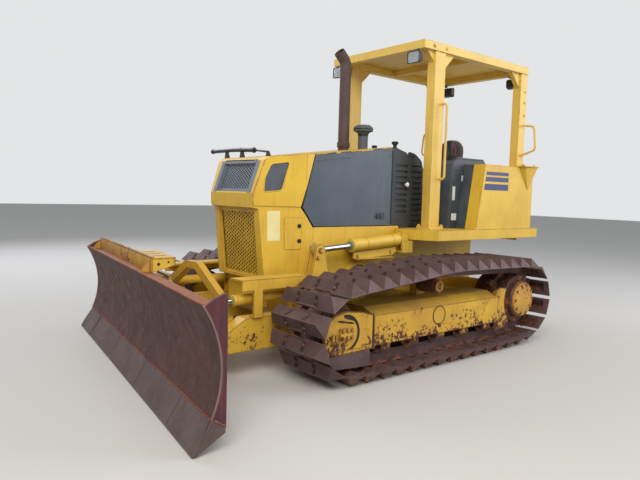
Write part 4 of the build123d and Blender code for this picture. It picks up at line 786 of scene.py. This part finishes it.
# %% Glands and pin keepers
lift_y, lift_along = 565, (0.998, 0, -0.0631)
cylinders = {
    "lift_barrel_left": ((-381, lift_y, 956), lift_along, 610, 55),
    "lift_barrel_right": ((-381, -lift_y, 956), lift_along, 610, 55),
    "angle_barrel_left": ((740, 480, 560), (0.9939, 0.1103, 0), 604, 38),
    "angle_barrel_right": ((740, -480, 560), (0.9910, -0.1342, 0), 604, 38),
}
for name, (rear, along, length, radius) in cylinders.items():
    gland, wiper = bmesh.new(), bmesh.new()
    place, proud, mouth = Vector(rear) + Vector(along) * (length - 2), radius + 3, radius * 0.72
    gland_profile = [(0, -26), (proud, -26), (proud, -4), (radius, 2), (radius * 0.55, 4), (0, 4)]
    add_lathe(gland, place, along, gland_profile, 24)
    piece("gland_" + name, gland, yellow_enamel if radius > 50 else arm_enamel, name, smooth_deg=35)
    add_lathe(wiper, place, along, [(0, 3.5), (mouth, 3.5), (mouth, 9), (radius * 0.5, 11), (0, 11)], 24)
    piece("wiper_" + name, wiper, gland_paint, name, smooth_deg=35)
guard = [(-300, 892), (196, 862), (196, 812), (170, 800), (-262, 822), (-316, 850)]
for side, name in ((1, "left"), (-1, "right")):
    bands, middle_y = bmesh.new(), side * lift_y
    for shift in (-250, 60):
        place = Vector((shift, middle_y, 956 - 0.0632 * (shift + 381)))
        add_lathe(bands, place, lift_along, [(54, 0), (58, 1), (58, 13), (54, 14)], 24)
    add_plate(bands, guard, middle_y - 7, 14)
    add_block(bands, (-262, middle_y - 26, 800), (170, middle_y + 26, 808), 3)
    for x, z in ((150, 826), (-240, 848)):
        add_bolt(bands, (x, side * (lift_y + 7), z), (0, side, 0), 20, 11)
    piece("lift_bands_" + name, bands, yellow_enamel, "lift_barrel_" + name, smooth_deg=35)
keepers = bmesh.new()
for side in (1, -1):
    for x, z in ((584, 895), (611, 838)):
        add_bolt(keepers, (x, side * 615, z), (0, side, 0), 22 if z < 890 else 30, 12)
piece("lift_pin_bolts", keepers, arm_enamel, "c_frame", smooth_deg=35)
print("cylinder details added")

# %% [markdown]
# ## Stripes, gussets and the doors' hardware
# Three blue vinyl stripes grow thicker downward on each rear fender. Their front ends follow the fender's slope. The
# folded gusset under the rear post's foot is a thin wedge. The engine doors have a paddle latch in their recess, four
# screws and a rubber seal along the rear edge, which move with the door.

# %% Fenders and doors
fender_y, fender_foot, fender_crown = 830, (-1098, 1043), (-1199, 1655)
fender_lean = (fender_foot[0] - fender_crown[0]) / (fender_crown[1] - fender_foot[1])
stripes, gussets = bmesh.new(), bmesh.new()
for side in (1, -1):
    for low_z, high_z in ((1414, 1473), (1495, 1538), (1554, 1587)):
        front = [fender_foot[0] - (z - fender_foot[1]) * fender_lean - 34 for z in (low_z, high_z)]
        outline = [(front[0], low_z), (front[1], high_z), (-1583, high_z), (-1583, low_z)]
        add_plate(stripes, outline, side * (fender_y + 1), -side * 0.9)
    top, tip = 1654, Vector((-1918, side * 831, 1432))
    foot_plate = ((-1767, 831), (-2002, 831), (-1990, 890), (-1800, 880))
    corners = [gussets.verts.new(p) for p in [(x, side * y, top) for x, y in foot_plate] + [tip]]
    gussets.faces.new(corners[:4])
    for i, j in ((0, 1), (1, 2), (2, 3), (3, 0)):
        gussets.faces.new((corners[i], corners[j], corners[4]))
    add_block(gussets, (-2010, side * 770, 1656), (-1760, side * 896, 1668), 3)
    for x in (-1985, -1790):
        add_bolt(gussets, (x, side * 850, 1668), (0, 0, 1), 22, 13)
piece("fender_stripes", stripes, stripe_film)
piece("fender_gussets", gussets, yellow_enamel)
for side, name in ((1, "left"), (-1, "right")):
    body = "engine_door_" + name
    paddle, seal, screws = (bmesh.new() for _ in range(3))
    add_block(paddle, (-268, side * 418, 1126), (-196, side * 429, 1174), 4)
    add_lathe(paddle, (-184, side * 417, 1150), (0, side, 0), [(0, 0), (9, 0), (9, 9), (6, 11), (0, 11)], 16)
    piece("door_latch_" + name, paddle, black_enamel_and_painted_shade, body)
    add_block(seal, (-377, side * 430, 1080), (-366, side * 433, 1740), 1.4)
    piece("door_edge_strip_" + name, seal, black_rubber, body)
    for x, z in ((-330, 1100), (470, 1100), (-330, 1690), (480, 1600)):
        add_lathe(screws, (x, side * 430, z), (0, side, 0), [(0, 0), (9, 0), (8, 3), (4, 4), (0, 4)], 12)
    piece("door_screws_" + name, screws, grey_enamel, body, smooth_deg=40)
print("stripes, gussets and door hardware added")

# %% [markdown]
# ## Work lamps
# A lamp is a moulded housing with a bowl reflector behind fluted glass, hung on a bolted bracket. A loft through
# rounded rectangles gives the housing: it narrows to the back and turns in at the rim to a recess. The same loft
# function, with other rings, makes the reflector, the glass and later the soft seat's rough shapes.

# %% Lamps
def loft(shape, rings, cap_start=True):
    """Joins rings of as many points each with quads and closes the ends."""
    made = [[shape.verts.new(Vector(point)) for point in ring] for ring in rings]
    for lower, upper in zip(made, made[1:]):
        for k in range(len(lower)):
            j = (k + 1) % len(lower)
            shape.faces.new((lower[k], lower[j], upper[j], upper[k]))
    if cap_start:
        shape.faces.new(list(reversed(made[0])))
    shape.faces.new(made[-1])


def lamp_ring(x, y, z, share, way, depth):
    """A rounded rectangle across the lamp, 'share' of its full size, 'depth' behind its face."""
    half_y, half_z = 72 * share, 54 * share
    flat = rounded([(-half_y, -half_z), (half_y, -half_z), (half_y, half_z), (-half_y, half_z)], 20 * share)
    return [(x - way * depth, y + p.x, z + p.y) for p in flat]


housings, bowls, lenses = (bmesh.new() for _ in range(3))
housing_rings = [(0.58, 72), (0.72, 66), (0.9, 40), (0.985, 8), (1.0, 4), (0.98, 0), (0.9, 0), (0.88, 4), (0.86, 34)]
bowl_rings = [(0.84, 9), (0.78, 16), (0.62, 25), (0.40, 30), (0.2, 32)]
lens_rings = [(0.87, 7), (0.87, 4), (0.6, 2.5)]
lamp_z = 2565
for lamp_x, y, way in ((-500, 507, 1), (-500, -507, 1), (-2198, 430, -1), (-2198, -430, -1)):
    for shape, sizes in ((housings, housing_rings), (bowls, bowl_rings), (lenses, lens_rings)):
        loft(shape, [lamp_ring(lamp_x, y, lamp_z, share, way, depth) for share, depth in sizes],
             cap_start=shape is not bowls)
    stem_x = lamp_x - way * 62
    add_lathe(housings, (stem_x, y, 2616), (0, 0, 1), [(0, 0), (16, 0), (16, 5), (9, 7), (9, 25), (0, 25)], 14)
    add_bolt(housings, (stem_x - way * 24, y, 2619), (0, 0, 1), 16, 10)
piece("lamp_housings", housings, black_enamel_and_painted_shade, smooth_deg=35, replaces=("work_lamps",))
piece("lamp_reflectors", bowls, reflector, smooth_deg=60)
piece("lamp_lenses", lenses, glass, smooth_deg=60)
print("lamps added")

# %% [markdown]
# ## The seat
# A suspension seat has a foam cushion and a back with a headrest, covered in cloth. A plain block would look hard, so
# each soft piece starts a little smaller than its solid. It is remeshed evenly and blown up by Blender's cloth with
# air pressure and no gravity, which rounds it as foam under a cover does. No point may move more than 24 mm, so the
# seams stay where the sewing would hold them.

# %% Soft pieces
voxel_mm, most_move_mm, cloth_frames = 8, 24, 20


def soft_piece(name, rings, material, node):
    """Lofts a pad, blows it up with cloth pressure and lets it stand for a node."""
    shape = bmesh.new()
    loft(shape, rings)
    pad = piece(name, shape, material, replaces=(node,))
    bpy.context.view_layer.objects.active = pad
    remesh = pad.modifiers.new("even", "REMESH")
    remesh.mode, remesh.voxel_size = "VOXEL", voxel_mm * mm
    bpy.ops.object.modifier_apply(modifier=remesh.name)
    before = [vert.co.copy() for vert in pad.data.vertices]
    cloth = pad.modifiers.new("air", "CLOTH")
    cloth.settings.quality = 4
    cloth.settings.use_pressure = True
    cloth.settings.uniform_pressure_force = 4.0
    cloth.settings.tension_stiffness = 12
    cloth.settings.effector_weights.gravity = 0.0
    for number in range(1, cloth_frames + 1):
        bpy.context.scene.frame_set(number)
    bpy.ops.object.modifier_apply(modifier=cloth.name)
    bpy.context.scene.frame_set(1)
    for vert, start in zip(pad.data.vertices, before):
        move = vert.co - start
        if move.length > most_move_mm * mm:
            vert.co = start + move.normalized() * most_move_mm * mm
    finer = pad.modifiers.new("finer", "SUBSURF")
    finer.levels = finer.render_levels = 1
    bpy.ops.object.modifier_apply(modifier=finer.name)
    pad.data.shade_smooth()


def pad_ring(rear, front, half_y, z, radius):
    """A rounded rectangle at a height."""
    corners = [(rear, -half_y), (front, -half_y), (front, half_y), (rear, half_y)]
    return [(p.x, p.y, z) for p in rounded(corners, radius)]


cushion_rings = [pad_ring(-1375 - half, -1375 + half, half, z, radius) for half, z, radius in (
    (215, 1324, 40), (232, 1336, 50), (234, 1396, 50), (224, 1420, 50), (200, 1428, 40))]
soft_piece("seat_cushion_soft", cushion_rings, seat_fabric, "seat_cushion")
back_rings = [pad_ring(rear, front, half_y, z, 42) for z, half_y, front, rear in (
    (1352, 215, -1626, -1748), (1370, 230, -1628, -1756), (1560, 232, -1648, -1778), (1660, 222, -1660, -1788),
    (1705, 172, -1668, -1790), (1740, 156, -1672, -1792), (1840, 152, -1680, -1794), (1898, 136, -1685, -1796),
    (1940, 104, -1690, -1794), (1966, 62, -1700, -1786))]
soft_piece("seat_back_soft", back_rings, seat_fabric, "seat_back")
headrest, piping = bmesh.new(), bmesh.new()
headrest_rings = []
for z, half_y in ((1758, 96), (1772, 114), (1850, 112), (1896, 92), (1922, 58)):
    front = -1672 - (z - 1740) * 0.084 + 20
    headrest_rings.append(pad_ring(front - 22, front, half_y, z, 9))
loft(headrest, headrest_rings)
piece("headrest_panel", headrest, headrest_cloth, smooth_deg=50)
piping_corners = [(-1622, -246), (-1130, -246), (-1130, 246), (-1622, 246)]
add_tube(piping, [(p.x, p.y, 1408) for p in rounded(piping_corners, 60, 8)], 5, 8, closed=True)
piece("cushion_piping", piping, black_rubber, smooth_deg=60)
print("seat added")

# %% [markdown]
# ## Track frames
# The track frame is a long box beam with its details on the outer face: a round reinforcing ring, the seam where the
# idler fork is welded on, the curved gap round the idler, a bolted bearing block with two uneven bars of soil above
# it, and a worn skid below. Behind it a guard is cut round the final drive, and the hub has a wide domed cover. The
# gap round the idler, a strip beside the seam and a line round the ring's edge are thin dark pieces in a soil colour:
# painted shade, as nothing is cut there.

# %% Undercarriage details
frame_y, ring_at, idler_at, sprocket_at = 1130, (-246, 389), (768, 365), (-1410, 415)
ring_radius, cover_radius = 74, 158
plates, gap_shade_and_soil, bolts, hubs, guards, skids = (bmesh.new() for _ in range(6))
for side in (1, -1):
    outward, inward = (0, side, 0), (0, -side * 0.9, 0)
    face = side * frame_y

    def at(x, z, out=0.0):
        """A point on the outer face of this side's track frame."""
        return Vector((x, face + side * out, z))

    add_lathe(plates, at(*ring_at), outward, [(0, 0), (ring_radius, 0), (ring_radius, 2), (0, 2)], 40)
    # A dark line round the ring's edge: painted shade
    ring = [at(*on_circle(ring_at, ring_radius, angle), 1) for angle in range(0, 360, 9)]
    add_tube(gap_shade_and_soil, ring, 4, 8, closed=True)
    # A dark strip beside the fork's seam: painted shade
    add_prism(gap_shade_and_soil, [at(x, z, 1) for x, z in ((490, 232), (504, 232), (504, 500), (490, 470))], inward)
    seam = [at(486, z, 2) for z in range(236, 462, 15)]
    add_tube(plates, seam, [5 + random.uniform(-1.2, 1.2) for _ in seam], 6)
    # The curved gap round the idler is a dark crescent of thin plates: painted shade
    sweep = [258 - 176 * i / 24 for i in range(25)]
    inner, outer = ([at(*on_circle(idler_at, reach, angle), 1) for angle in sweep] for reach in (114, 137))
    for i in range(len(sweep) - 1):
        add_prism(gap_shade_and_soil, [inner[i], inner[i + 1], outer[i + 1], outer[i]], inward)
    # The bearing block, its keeper and the skid's edge, as (x, z) corners, thickness and bevel
    for low, high, thick, bevel in (((706, 322), (830, 408), 18, 5), ((846, 300), (900, 372), 18, 5),
                                    ((560, 226), (905, 250), 12, 4)):
        add_block(plates, at(*low), at(*high, thick), bevel)
    for x, z in [(x, z) for x in (726, 768, 810) for z in (340, 390)]:
        add_bolt(bolts, at(x, z, 18), outward, 20, 13)
    for x, z in ((858, 316), (888, 316), (873, 356)):
        add_bolt(bolts, at(x, z, 18), outward, 16, 10)
    for x, z, long in ((690, 432, 150), (676, 452, 96)):
        bar = [at(x + share * long, z + share * 30, 1.5) for share in (0, 0.25, 0.5, 0.75, 1)]
        add_tube(gap_shade_and_soil, bar, [4, 7, 5, 8, 4], 7)
    for x in (-1010, -830, -560, 60, 300):
        add_bolt(bolts, at(x, 262), outward, 18, 10)
    # The rear guard, cut round the drum
    cut = [on_circle(sprocket_at, 240, 28 - 76 * i / 10) for i in range(11)]
    outline = [(-1040, 150), (-1040, 500), (-1100, 540)] + cut + [(-1230, 190)]
    add_plate(guards, outline, side * 1104, side * 18)
    for z in (200, 330, 460):
        add_bolt(bolts, (-1075, side * 1122, z), outward, 20, 12)
    # The skid's worn face and the carrier roller's cap
    skid = [(522, 214), (922, 214), (894, 152), (850, 120), (560, 102), (522, 130)]
    add_plate(skids, rounded(skid, 12), side * 1127.6, -side * 1.5)
    carrier_profile = [(0, 0), (52, 0), (52, 10), (44, 16), (26, 16), (22, 22), (0, 22)]
    add_lathe(hubs, (-330, side * 1045, 603), outward, carrier_profile, 28)
    # The hub's wide, domed cover on the dark final drive
    cover_profile = [(0, 0), (cover_radius, 0), (cover_radius, 8), (148, 20), (110, 27), (50, 31), (0, 32)]
    add_lathe(hubs, (sprocket_at[0], side * 1148, sprocket_at[1]), outward, cover_profile, 44)
    for k in range(10):
        x, z = on_circle(sprocket_at, 130, 36 * k)
        add_bolt(hubs, (x, side * 1170, z), outward, 18, 10)
piece("track_frame_plates", plates, frame_enamel, smooth_deg=35)
# Painted shade in the gaps, and two bars of soil
piece("track_frame_gap_shade_and_soil", gap_shade_and_soil, soil_and_painted_shade, smooth_deg=40)
piece("undercarriage_bolts", bolts, frame_enamel, smooth_deg=35)
piece("skid_faces", skids, edge_steel)
piece("sprocket_guards", guards, frame_enamel)
piece("hub_discs", hubs, rusty_enamel, smooth_deg=35)
print("undercarriage details added")

# %% [markdown]
# ## Shoe bolts
# Every swamp shoe is a folded triangle. Two bolts hold each of its slopes, left and right of the chain, each in a
# relief. The loop of the chain is worked out once more here: half circles at the sprocket and the idler, a slack upper
# run over the carrier roller and a straight run on the ground, cut into 38 equal links. Bolts and reliefs follow it.
# No relief is cut: each is a flat dark patch in the soil colour, which paints the recess's shade and its soil.

# %% Reliefs and bolts along the chain
links, shoe_seat, shoe_peak, shoe_half, track_y = 38, 42, 78, 75.25, 946
sprocket_pin, idler_pin, ground_pin, carrier_at = 273.98, 244, 120, (-330, 712)


def half_circle(centre, radius, start, end):
    """Points of an arc from one angle to another, in degrees."""
    return [Vector(on_circle(centre, radius, start + (end - start) * i / 48)) for i in range(49)]


loop = half_circle(sprocket_at, sprocket_pin, 180, 90) + [Vector(carrier_at)]
loop += half_circle(idler_at, idler_pin, 84, -90) + [Vector((490, ground_pin)), Vector((-1098.5, ground_pin))]
loop += half_circle(sprocket_at, sprocket_pin, 270, 180)
total = sum((b - a).length for a, b in zip(loop, loop[1:]))
pins, walked = [], 0.0
for a, b in zip(loop, loop[1:]):
    while len(pins) < links and len(pins) * total / links < walked + (b - a).length:
        pins.append(a.lerp(b, (len(pins) * total / links - walked) / (b - a).length))
    walked += (b - a).length
slope = Vector((shoe_half, shoe_peak)).normalized()
reliefs, shoe_bolts = bmesh.new(), bmesh.new()
for first, second in zip(pins, pins[1:] + pins[:1]):
    along = (second - first).normalized()
    out = Vector((-along.y, along.x))
    base = (first + second) / 2 + out * shoe_seat
    for side in (1, -1):
        for way in (1, -1):
            up_face = (along * -way * slope.x + out * slope.y)
            normal = (along * way * slope.y + out * slope.x)
            start = base + along * way * shoe_half
            for across in (-118, 84):
                # A flat dark patch over each relief: painted shade of the recess, with soil in it
                low, high = (start + up_face * share + normal * 1.2 for share in (22, 92))
                y = side * track_y + across
                corners = [(p.x, y + dy, p.y) for p, dy in ((low, 0), (low, 34), (high, 34), (high, 0))]
                add_prism(reliefs, corners, (-normal.x, 0, -normal.y))
                spot = start + up_face * 50 + normal
                add_bolt(shoe_bolts, (spot.x, y + 17, spot.y), (normal.x, 0, normal.y), 19, 11)
piece("shoe_relief_shade", reliefs, soil_and_painted_shade)
piece("shoe_bolts", shoe_bolts, roller_steel)
print("links", len(pins), "pitch", round(total / links, 2))

# %% [markdown]
# ## Canopy, cowl and the operator's place
# Bolts hold the canopy's feet. Behind the hood sits a dark cowl with a filler cap and a small white knob on its side,
# and ribbed screens close the dash's sides. The consoles carry a lid with a folded edge and blank labels, and the
# levers come out of rubber bellows. The floor has a ribbed rubber mat, and two bent handles on the rear posts help the
# operator up.

# %% Canopy and cowl
fixings, handles, small_black, white_parts = (bmesh.new() for _ in range(4))
for side in (1, -1):
    for x in (-858, -687):
        for y in (490, 613):
            add_bolt(fixings, (x, side * y, 1065), (0, 0, 1), 24, 15)
    for z in (2216, 2348, 2460):
        add_bolt(fixings, (-2160, side * 597, z), (0, side, 0), 20, 11)
    for x in (-860, -690):
        add_bolt(fixings, (x + 17, side * 607, 2677), (0, side, 0), 22, 12)
    corners = [Vector((-2133, y, z)) for y, z in ((590, 2110), (742, 2092), (767, 1850), (590, 1790))]
    bend = [corners[0]]
    for i in (1, 2):
        for t in (0.0, 0.25, 0.5, 0.75, 1.0):
            start, end = (corners[i] + (corners[j] - corners[i]).normalized() * 40 for j in (i - 1, i + 1))
            bend.append(start.lerp(corners[i], t).lerp(corners[i].lerp(end, t), t))
    add_tube(handles, [(p.x, side * p.y, p.z) for p in bend + [corners[3]]], 11, 14)
cap_profile = [(0, -6), (24, -6), (24, 6), (17, 10), (17, 32), (30, 38), (30, 56), (22, 62), (0, 62)]
add_lathe(small_black, (-455, 372, 1764), (0, 0, 1), cap_profile, 18)
knob_profile = [(0, 0), (10, 0), (10, 14), (19, 18), (21, 28), (13, 36), (0, 38)]
add_lathe(white_parts, (-560, 422, 1440), (0, 1, 0), knob_profile, 18)
piece("canopy_bolts", fixings, canopy_enamel, smooth_deg=35)
piece("rear_handles", handles, canopy_enamel, smooth_deg=60)
piece("cowl_cap", small_black, black_rubber, smooth_deg=40)
piece("cowl_knob", white_parts, white_film, smooth_deg=50)
print("canopy and cowl details added")

# %% Consoles, floor and exhaust
lids, signs, boots, mat, band = (bmesh.new() for _ in range(5))
folds = [(0, 0), (44, 0), (44, 8), (34, 14), (40, 22), (30, 28), (34, 36), (22, 44), (14, 60), (0, 60)]
for side in (1, -1):
    add_block(lids, (-1490, side * 424, 1698), (-1070, side * 602, 1716), 8)
    add_block(lids, (-1545, side * 424, 1596), (-1020, side * 602, 1606), 4)
    add_lathe(boots, (-1082, side * 515, 1702), (0.18, 0, 1), folds, 20)
for x0, x1, z0, z1 in ((-1205, -1150, 1490, 1545), (-1062, -1022, 1310, 1440), (-1095, -1020, 1120, 1185)):
    add_block(signs, (x0, 598.4, z0), (x1, 599.6, z1), 0)
add_block(mat, (-1110, -420, 1043.5), (-690, 420, 1048), 1.5)
for x in range(-1095, -710, 24):
    add_block(mat, (x, -405, 1048), (x + 9, 405, 1051), 0)
add_lathe(band, (-330, 80, 1880), (0, 0, 1), [(46, 0), (50, 1), (50, 15), (46, 16)], 28)
add_lathe(band, (-330, 80, 1936), (0, 0, 1), [(90, 0), (93, 2), (93, 8), (90, 10)], 32)
add_bolt(band, (-282, 80, 1888), (1, 0, 0), 12, 9)
piece("console_lids", lids, console_plastic)
piece("blank_labels_console", signs, white_film)
piece("lever_boots", boots, black_rubber, smooth_deg=50)
piece("floor_mat", mat, black_rubber)
piece("cleaner_bands", band, black_enamel_and_painted_shade, smooth_deg=35)
# Ribbed side screens of the dash, and the console's moulded flank in front of the fender
screens, ribs, flanks = (bmesh.new() for _ in range(3))
screen_outline = rounded([(-600, 1060), (-600, 1744), (-690, 1728), (-782, 1668), (-806, 1600), (-806, 1060)], 22)
flank_outline = [(-1092, 1048), (-1190, 1652), (-1197, 1652), (-1098, 1048)]
fold_outline = [(-1088, 1052), (-1185, 1640), (-1192, 1640), (-1095, 1052)]
for side in (1, -1):
    far = side * 412
    for shape, outline, near, deep in ((screens, screen_outline, 402, 10), (flanks, flank_outline, 600, 104),
                                       (flanks, fold_outline, 604, 14)):
        add_plate(shape, outline, side * near, side * deep)
    for z in range(1108, 1609, 50):
        section = [(far, z), (far + side * 9, z + 5), (far + side * 9, z + 13), (far, z + 20)]
        add_prism(ribs, [(-660, y, z) for y, z in section], (-128 if z < 1600 else -104, 0, 0))
    for z in (1700, 1078):
        add_bolt(ribs, (-660, far, z), (0, side, 0), 16, 9)
piece("dash_side_screens", screens, cowl_plastic, smooth_deg=30)
piece("dash_ribs", ribs, black_rubber, smooth_deg=30)
piece("console_flanks", flanks, console_plastic)
# The exhaust's clamp stands 47 mm above the hood, which drops 114 mm over its 903 mm
clamp, stack_at = bmesh.new(), (-230, -80)
clamp_z = 1769 - (383 - 230) * 114 / 903 + 47
for angle in (35, 215):
    place = Vector((*on_circle(stack_at, 60, angle), clamp_z))
    add_block(clamp, place - Vector((16, 12, 18)), place + Vector((16, 12, 18)), 4)
    add_bolt(clamp, place + Vector((0, 12, 0)), (0, 1, 0), 16, 10)
piece("exhaust_clamp_lugs", clamp, stack_steel)

# %% [markdown]
# ## Floor, light and camera
# A pale floor and a bright world give an even light in which a colour renders about as it is written. The camera
# stands where the photograph was taken from: to the machine's front left, about 1.35 m above the ground. Its lens
# follows from the picture's focal length of 598 pixels across 640.

# %% Floor
floor_mesh = bpy.data.meshes.new("floor")
sheet = bmesh.new()
floor_half = 40
bmesh.ops.create_grid(sheet, x_segments=8, y_segments=8, size=floor_half)
sheet.to_mesh(floor_mesh)
sheet.free()
floor = bpy.data.objects.new("floor", floor_mesh)
bpy.context.scene.collection.objects.link(floor)
floor.location = (0, 0, -0.001)
floor_paint, tree, shader = new_material("studio_floor")
shader.inputs["Base Color"].default_value = linear("C4C2BE")
shader.inputs["Roughness"].default_value = 0.9
floor_mesh.materials.append(floor_paint)
print("floor", floor.name)

# %% Light
world = bpy.data.worlds.new("studio")
bpy.context.scene.world = world
world.use_nodes = True
tree = world.node_tree
tree.nodes.clear()
background = put(tree, "ShaderNodeBackground", {"Color": linear("DDE1E6"), "Strength": 0.62})
backdrop = put(tree, "ShaderNodeBackground", {"Color": linear("E4E5E6"), "Strength": 1.0})
path = put(tree, "ShaderNodeLightPath")
seen = put(tree, "ShaderNodeMixShader", {0: path.outputs["Is Camera Ray"], 1: background.outputs["Background"],
                                         2: backdrop.outputs["Background"]})
put(tree, "ShaderNodeOutputWorld", {"Surface": seen.outputs["Shader"]})


def soft_lamp(name, place, aim, size, watts, tint="FFFFFF"):
    """An area lamp that looks at a point."""
    data = bpy.data.lights.new(name, "AREA")
    data.size = size
    data.energy = watts
    data.color = linear(tint)[:3]
    lamp = bpy.data.objects.new(name, data)
    bpy.context.scene.collection.objects.link(lamp)
    lamp.location = place
    lamp.rotation_euler = (Vector(aim) - Vector(place)).to_track_quat("-Z", "Y").to_euler()
    return lamp


soft_lamp("key_lamp", (5.5, 6.5, 7.5), (0, 0, 1.0), 6.0, 820, "FFF8EE")
soft_lamp("side_lamp", (-6.5, 5.5, 4.5), (-0.5, 0, 1.0), 6.0, 380, "F2F5FF")
soft_lamp("far_lamp", (1.0, -8.0, 6.0), (0, 0, 1.0), 6.0, 420, "F2F5FF")

# %% Camera
yaw, pitch, roll = math.radians(39.66), math.radians(4.55), math.radians(1.68)
ahead = Vector((-math.sin(yaw) * math.cos(pitch), -math.cos(yaw) * math.cos(pitch), -math.sin(pitch)))
level_right = ahead.cross(Vector((0, 0, 1))).normalized()
level_up = level_right.cross(ahead)
right = level_right * math.cos(roll) + level_up * math.sin(roll)
up = level_up * math.cos(roll) - level_right * math.sin(roll)
camera_data = bpy.data.cameras.new("photo_camera")
sensor_mm, focal_pixels, picture_width = 36.0, 598.25, 640
camera_data.sensor_width = sensor_mm
camera_data.lens = sensor_mm * focal_pixels / picture_width
camera = bpy.data.objects.new("photo_camera", camera_data)
bpy.context.scene.collection.objects.link(camera)
turned = Matrix((right, up, -ahead)).transposed().to_4x4()
camera.matrix_world = Matrix.Translation((3.548, 4.1746, 1.3465)) @ turned
bpy.context.scene.camera = camera
bpy.context.scene.view_settings.view_transform = "Standard"
print("lens in mm", round(camera_data.lens, 2))
